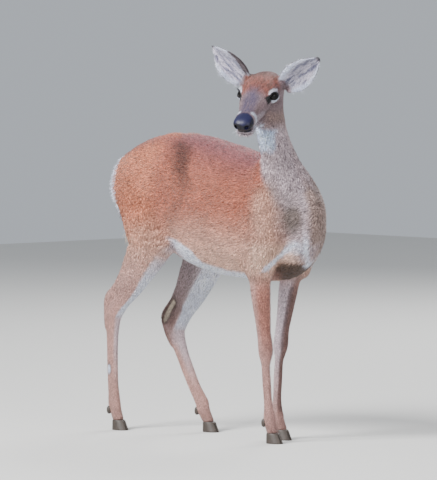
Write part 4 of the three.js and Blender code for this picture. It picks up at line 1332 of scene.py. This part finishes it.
x, y, z = roots.T
nx, ny, nz = root_normals.T
heads = to_head(roots)
rear = smooth(x, -470, -492) * smooth(z, 700, 750) * smooth(z, 880, 862) * smooth(np.abs(y), 96, 80)
grown("rump_fringe", "coat_white", rear * smooth(np.abs(y), 26, 50), 1500, 21, 0.9, "white", 0.95,
      lead=(-0.5, 0, -0.2), width=0.5)  # fmt: skip
grown("tail_hair", "coat_white", smooth(x, -505, -518) * (np.abs(y) < 46) * smooth(z, 596, 640) * (z < 850),
      1500, 24, 0.22, "white", 0.35, pull=(0, 0, -0.5))  # fmt: skip
flank = smooth(np.abs(z - np.interp(x, *WHITE_EDGE) + 12), 26, 6) * smooth(x, -300, -260) * smooth(x, 90, 50)
grown("belly_hair", "coat_white", flank * smooth(nz, -0.1, -0.4), 1300, 10, 0.3, "white", 0.7, width=0.36)
swirl = np.max([path_mask(roots, places, 22) for places in BRISKET_STRIPES.values()], axis=0)
grown("brisket_hair", "coat_white", swirl * smooth(z, 650, 610), 750, 14, 0.35, "white", 0.85, width=0.36)
between = smooth(x, 175, 215) * smooth(z, 572, 552) * smooth(np.abs(y + 6), 70, 50)
grown("chest_fringe", "coat_grey", between, 600, 13, 0.35, None, width=0.4)
behind = smooth(-nx, 0.3, 0.7) * smooth(x, -380, -420) * smooth(z, 560, 590) * smooth(z, 720, 690)
grown("thigh_fringe", "coat_red", behind * smooth(np.abs(y), 30, 50), 700, 10, 0.5, "cream", 0.35, width=0.36)
wisp = blob(roots, (-450, -92, 612), (46, 60, 44)) * smooth(-nx, 0.2, 0.6)
grown("thigh_wisps", "coat_red", wisp, 26, 30, 0.9, "cream", 0.9, width=0.5, pull=(-0.1, 0, -0.9), curl=0.2)
ruffle = smooth(x, -330, -290) * smooth(x, -190, -215) * smooth(np.abs(y), 60, 20) * (z > 880)
grown("back_ruffle", "coat_red", ruffle * smooth(noise(roots, 14, 41), 0, 0.3),
      900, 14, 1.3, "haunch", 0.5, width=0.45)  # fmt: skip
for side, word in ((-1, "right"), (1, "left")):
    there, along, across, ahead = on_ear(heads, side)
    cup = there * smooth(ahead, -0.3, 0.6) * (1 - (side < 0) * ear_fold(along, across))
    spread = cup * smooth(along, 0.9, 0.6) * (0.35 + 0.65 * smooth(np.abs(across), 0.3, 0.7))
    grown(f"{word}_ear_hair", "coat_white", spread,
          2600, 14, 0.3, "white", 0.5, width=0.34, pull=(0, 0, -0.1))  # fmt: skip
    grown(f"{word}_ear_edge", "coat_white", cup * smooth(np.abs(across), 0.7, 0.9) * smooth(along, 0.5, 0.2),
          300, 17, 0.7, "white", 0.9, width=0.34)  # fmt: skip
    tuft = hock_tuft(side)
    inner = smooth(ny * -side, 0.1, 0.5)
    grown(f"{word}_hock_rim", "coat_leg", path_mask(roots, tuft, 27) * inner, 420, 9, 0.4, "brown", 0.9)
    grown(f"{word}_hock_tuft", "coat_leg", path_mask(roots, tuft, 10) * inner, 190, 10, 0.6, "cream", 0.9)
    gland = cannon_gland(side)
    grown(f"{word}_gland_hair", "coat_leg", blob(roots, gland, (12, 11, 20)), 110, 7, 0.4, "white", 0.95)

# %% Whiskers and lashes
lips = smooth(heads[:, 0], 100, 125) * smooth(heads[:, 2], -30, -46) * (heads[:, 2] > -88)
grown("whiskers", "coat_white", lips * smooth(np.abs(heads[:, 1]), 8, 16),
      60, 27, 1.1, "white", 0.9, width=0.24,
      lead=tuple(HEAD_AXES @ (0.5, 0, -0.5)), pull=(0, 0, -0.5), curl=0.05)  # fmt: skip
for side, word in ((-1, "right"), (1, "left")):
    look, along, up = eye_axes(side)
    h = rng.uniform(-0.85, 0.7, 70)
    v = UPPER_LID * (1 - (h / LID_WIDTH) ** 2) + 0.10
    way = look * np.sqrt(np.maximum(1 - h * h - v * v, 0.02))[:, None] + along * h[:, None] + up * v[:, None]
    places = from_head(eye_place(side) + unit(way) * (EYE_RADIUS + 1.6) / HEAD_SCALE)
    lead = unit(look * 0.75 + along * h[:, None] * 0.9 + up * 0.12 - np.array((0.35, 0, 0)))
    piece = strands(f"{word}_lashes", rng, places, lead @ HEAD_AXES.T, 8.5, 0.22,
                    np.tile(PAINT["black"], (70, 1)), pull=(0, 0, 0.5), curl=0.02)  # fmt: skip


# %% [markdown]
# ## Eyes, hooves and dewclaws
# An eye is a ball with the cornea standing a little proud of it. Each foot walks on two claws of
# horn with the dewclaws behind, worn smooth at the edges and ringed by growth.


# %% Eyeballs
EYE_COLOURS = {"pupil": "020203", "iris": "0d0806", "rim": "050404"}


def grid_faces(rows, columns):
    """Triangles between rows of points that close round, and a fan to a pole at each end."""
    a = (np.arange(rows - 1)[:, None] * columns + np.arange(columns)).ravel()
    b = (np.arange(rows - 1)[:, None] * columns + (np.arange(columns) + 1) % columns).ravel()
    first, last = rows * columns, rows * columns + 1
    k, next_k = np.arange(columns), (np.arange(columns) + 1) % columns
    top = (rows - 1) * columns
    return np.concatenate([
        np.stack([a, b, b + columns], -1), np.stack([a, b + columns, a + columns], -1),
        np.stack([next_k, k, np.full(columns, first)], -1),
        np.stack([top + k, top + next_k, np.full(columns, last)], -1),
    ])  # fmt: skip


def closed_rings(rings):
    """Vertices and outward triangles of rings of points, each end closed over its middle."""
    rings = np.asarray(rings)
    ends = [rings[0].mean(0), rings[-1].mean(0)]
    return np.concatenate([rings.reshape(-1, 3), ends]), grid_faces(*rings.shape[:2])


def outward(vertices, faces):
    """The faces turned over if their signed volume, a . (b x c) / 6 in all, is below 0."""
    a, b, c = np.moveaxis(vertices[faces], 1, 0)
    return faces if (a * np.cross(b, c)).sum() > 0 else faces[:, ::-1]


def eyeball(side, word):
    """Rings round the way the eye looks, radius 1 + 0.07 cos^6 of the angle from it."""
    look, along, up = eye_axes(side)
    angle = np.linspace(0.02, np.pi - 0.02, 40)[:, None]
    turn = np.linspace(0, 2 * np.pi, 64, endpoint=False)[None, :]
    reach = (EYE_RADIUS - 0.5) * (1 + 0.06 * np.clip(np.cos(angle), 0, 1) ** 6)
    ring = look * np.cos(angle)[..., None] + np.sin(angle)[..., None] * (
        along * np.cos(turn)[..., None] + up * np.sin(turn)[..., None]
    )
    vertices, faces = closed_rings(from_head(eye_place(side) + ring * reach[..., None] / HEAD_SCALE))
    q = unit((vertices - from_head(eye_place(side))) @ HEAD_AXES)
    h, v = q @ along, q @ up
    share = smooth(np.hypot(h / 0.42, v / 0.22), 0.85, 1.15)[:, None]
    colour = linear(EYE_COLOURS["pupil"]) * (1 - share) + linear(EYE_COLOURS["iris"]) * share
    edge = smooth(np.hypot(h, v), 0.62, 0.74)[:, None]
    colour = colour * (1 - edge) + linear(EYE_COLOURS["rim"]) * edge
    made = mesh_of(f"{word}_eyeball", vertices, outward(vertices, faces), colour)
    made.data.shade_smooth()
    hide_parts(f"{word}_eye")
    return made


eyes = [eyeball(side, word) for side, word in ((-1, "right"), (1, "left"))]

# %% Horn
HOOF = {"length": 60, "width": 20, "height": HOOF_HEIGHT, "gap": 3, "forward": 9}
DEWCLAW = {"radii": (9, 7, 13), "back": 13, "apart": 12, "below": 26}


def curve(a, b, c, count):
    """Points on the quadratic curve from a to c that leaves a towards b."""
    t = np.linspace(0, 1, count, endpoint=False)[:, None]
    return (1 - t) ** 2 * np.array(a) + 2 * t * (1 - t) * np.array(b) + t * t * np.array(c)


def hoof_claw(coffin, way):
    """Rings of one claw's outline, drawn in towards the top, with a worn edge at the sole."""
    long, wide = HOOF["length"], HOOF["width"]
    outline = np.concatenate([
        curve((-0.42 * long, 0), (-0.5 * long, wide), (-0.1 * long, wide), 12),
        curve((-0.1 * long, wide), (0.3 * long, 0.95 * wide), (0.5 * long, 0.18 * wide), 16),
        curve((0.5 * long, 0.18 * wide), (0.51 * long, 0.02 * wide), (0.47 * long, 0), 4),
        curve((0.47 * long, 0), (0, 0.05 * wide), (-0.42 * long, 0), 12),
    ])  # fmt: skip
    middle = np.array([0, wide / 2])
    rings = []
    worn_foot = [(0, 0.90), (0.02, 0.965), (0.06, 0.995)]
    wall = [(t, 1) for t in np.linspace(0.12, 0.9, 14)]
    for high, shrink in [*worn_foot, *wall, (0.96, 0.95), (1.0, 0.82)]:
        grown_rings = 1 + 0.006 * math.sin(34 * high)
        ring = middle + (outline - middle) * shrink * grown_rings
        px = ring[:, 0] * (1 - 0.3 * high) - 8 * high
        py = (ring[:, 1] * (1 - 0.14 * high) + HOOF["gap"] / 2) * way
        z = np.full(len(ring), high * HOOF["height"])
        rings.append(np.stack([px + coffin[0] + HOOF["forward"], py + coffin[1], z], -1))
    return closed_rings(rings)


def dewclaw(fetlock, way):
    """A small blunt cone of horn: a ball squared off behind, pointing down and back."""
    angle = np.linspace(0.05, np.pi - 0.05, 16)[:, None]
    turn = np.linspace(0, 2 * np.pi, 24, endpoint=False)[None, :]
    a, b, c = DEWCLAW["radii"]
    flat = np.sin(angle) ** 0.8
    ring = np.stack([a * flat * np.cos(turn), b * flat * np.sin(turn), c * np.cos(angle) + 0 * turn], -1)
    centre = np.array(fetlock) + (-DEWCLAW["back"], DEWCLAW["apart"] * way, -DEWCLAW["below"])
    return closed_rings(ring * 0.98 + centre)


horns = []
for side, word in ((-1, "right"), (1, "left")):
    for foot, joints in (("fore", FORE_JOINTS), ("hind", HIND_JOINTS)):
        fetlock, coffin = joints[side][-2:]
        for which, way in (("inner", -side), ("outer", side)):
            for kind, made in (("hoof", hoof_claw(coffin, way)), ("dewclaw", dewclaw(fetlock, way))):
                vertices, faces = made
                piece = mesh_of(f"{word}_{foot}_{which}_{kind}_horn", vertices, outward(vertices, faces))
                piece.data.shade_smooth()
                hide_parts(f"{word}_{foot}_{which}_{kind}")
                horns.append(piece)
print(len(horns), "pieces of horn")

# %% [markdown]
# ## Finishes
# Hair is keratin: half matt, with a soft glow where it is seen edge on, which sheen gives. The
# colours come with the vertices and the shader only adds what is finer than a tuft.


# %% Hair and hide
def hair_material():
    """Deer hair: hollow keratin, which scatters light and gives the coat its dry, soft look."""
    made, tree, shader = material("deer hair, short summer coat")
    place = node(tree, "TexCoord").outputs["Object"]
    colour = node(tree, "Attribute", {"attribute_name": "coat"}).outputs["Color"]
    speckle = node(tree, "TexNoise", None, Vector=place, Scale=1 / (3.2 * MM), Detail=3.0)
    level = node(tree, "MapRange", None, Value=speckle.outputs["Fac"], From_Min=0.3, From_Max=0.7,
                 To_Min=0.74, To_Max=1.24)  # fmt: skip
    mixed = node(tree, "VectorMath", {"operation": "SCALE"}, _0=colour, Scale=level.outputs[0])
    tree.links.new(mixed.outputs[0], shader.inputs["Base Color"])
    shader.inputs["Roughness"].default_value = 0.6
    shader.inputs["Specular IOR Level"].default_value = 0.3
    shader.inputs["Sheen Weight"].default_value = 0.08
    shader.inputs["Sheen Roughness"].default_value = 0.4
    return made


def hide_material():
    """The skin under the hair, painted darker than the coat as the shade under the fur, and bare
    and wet on the nose and the lids: near black, with pebbles 1.9 mm across on the pad."""
    made, tree, shader = material("hide under the coat, bare at the nose and lids")
    place = node(tree, "TexCoord").outputs["Object"]
    colour = node(tree, "Attribute", {"attribute_name": "coat"}).outputs["Color"]
    wet = node(tree, "Attribute", {"attribute_name": "wet"}).outputs["Fac"]
    tree.links.new(colour, shader.inputs["Base Color"])
    rough = node(tree, "MapRange", None, Value=wet, To_Min=0.72, To_Max=0.42)
    tree.links.new(rough.outputs[0], shader.inputs["Roughness"])
    pebbles = node(tree, "TexVoronoi", {"feature": "SMOOTH_F1"}, Vector=place, Scale=1 / (1.9 * MM))
    strand = node(tree, "TexNoise", None, Vector=place, Scale=1 / (1.2 * MM), Detail=2.0)
    high = node(tree, "Mix", {"data_type": "FLOAT"}, Factor=wet, _2=strand.outputs["Fac"],
                _3=pebbles.outputs["Distance"])  # fmt: skip
    bump = node(tree, "Bump", {"invert": True}, Strength=0.6, Distance=0.5 * MM, Height=high.outputs[0])
    tree.links.new(bump.outputs[0], shader.inputs["Normal"])
    shader.inputs["Specular IOR Level"].default_value = 0.3
    return made


# %% Wet eyes and horn
def eye_material():
    """A wet eyeball: nearly black brown under a clear smooth film, which gives the sharp glint."""
    made, tree, shader = material("wet eyeball, dark brown")
    colour = node(tree, "Attribute", {"attribute_name": "coat"}).outputs["Color"]
    tree.links.new(colour, shader.inputs["Base Color"])
    shader.inputs["Roughness"].default_value = 0.3
    shader.inputs["Specular IOR Level"].default_value = 0.05
    shader.inputs["Coat Weight"].default_value = 0.6
    shader.inputs["Coat Roughness"].default_value = 0.02
    shader.inputs["Coat IOR"].default_value = 1.34
    return made


def horn_material():
    """Hoof horn: dark keratin in growth rings 3 mm apart, dry and scuffed, half matt."""
    made, tree, shader = material("hoof horn, scuffed")
    place = node(tree, "TexCoord").outputs["Object"]
    scuff = node(tree, "TexNoise", None, Vector=place, Scale=1 / (5 * MM), Detail=4.0)
    colour = node(tree, "Mix", {"data_type": "RGBA"}, Factor=scuff.outputs["Fac"],
                  _6=(*linear("1b1613"), 1), _7=(*linear("4a3f37"), 1))  # fmt: skip
    tree.links.new(colour.outputs[2], shader.inputs["Base Color"])
    rings = node(tree, "TexWave", {"bands_direction": "Z"}, Vector=place, Scale=1 / (6 * MM), Distortion=1.5)
    bump = node(tree, "Bump", None, Strength=0.35, Distance=0.3 * MM, Height=rings.outputs["Fac"])
    tree.links.new(bump.outputs[0], shader.inputs["Normal"])
    shader.inputs["Roughness"].default_value = 0.5
    return made


layer = skin_mesh.attributes.new("wet", "FLOAT", "POINT")
layer.data.foreach_set("value", skin_bare.astype(np.float32))
hide, hair, wet_eye, horn = hide_material(), hair_material(), eye_material(), horn_material()
for pieces, finish in (([skin], hide), (coat_pieces, hair), (eyes, wet_eye), (horns, horn)):
    for piece in pieces:
        piece.data.materials.append(finish)


# %% [markdown]
# ## The studio
# A pale floor and large soft lamps: the key high in front of her, a weaker fill beside the
# camera and one behind for the back's edge.


# %% Floor and lamps
def floor_material():
    """Pale matt paint on a studio floor."""
    made, _, shader = material("studio floor, pale matt paint")
    shader.inputs["Base Color"].default_value = (*linear("c9c8c5"), 1)
    shader.inputs["Roughness"].default_value = 0.85
    return made


def lamp(name, place, size, power):
    """A square soft lamp of that size in metres, turned to the deer's middle."""
    made = bpy.data.objects.new(name, bpy.data.lights.new(name, "AREA"))
    made.data.size, made.data.energy = size, power
    made.location = place
    made.rotation_euler = (Vector((0, 0, 0.6)) - Vector(place)).to_track_quat("-Z", "Y").to_euler()
    bpy.context.collection.objects.link(made)


floor_mesh = bpy.data.meshes.new("floor")
floor_mesh.from_pydata([(-9, -9, 0), (9, -9, 0), (9, 9, 0), (-9, 9, 0)], [], [(0, 1, 2, 3)])
floor = bpy.data.objects.new("floor", floor_mesh)
bpy.context.collection.objects.link(floor)
floor_mesh.materials.append(floor_material())
lamp("key", (-0.5, -5.5, 5.5), 3, 1330)
lamp("fill", (6, -1.5, 2.5), 4, 180)
lamp("back", (-2.5, 5.5, 4.5), 3, 380)
world = bpy.data.worlds.new("studio")
bpy.context.scene.world = world
world.use_nodes = True
world.node_tree.nodes["Background"].inputs["Color"].default_value = (0.86, 0.92, 1, 1)
world.node_tree.nodes["Background"].inputs["Strength"].default_value = 0.55
print("the stage is set")
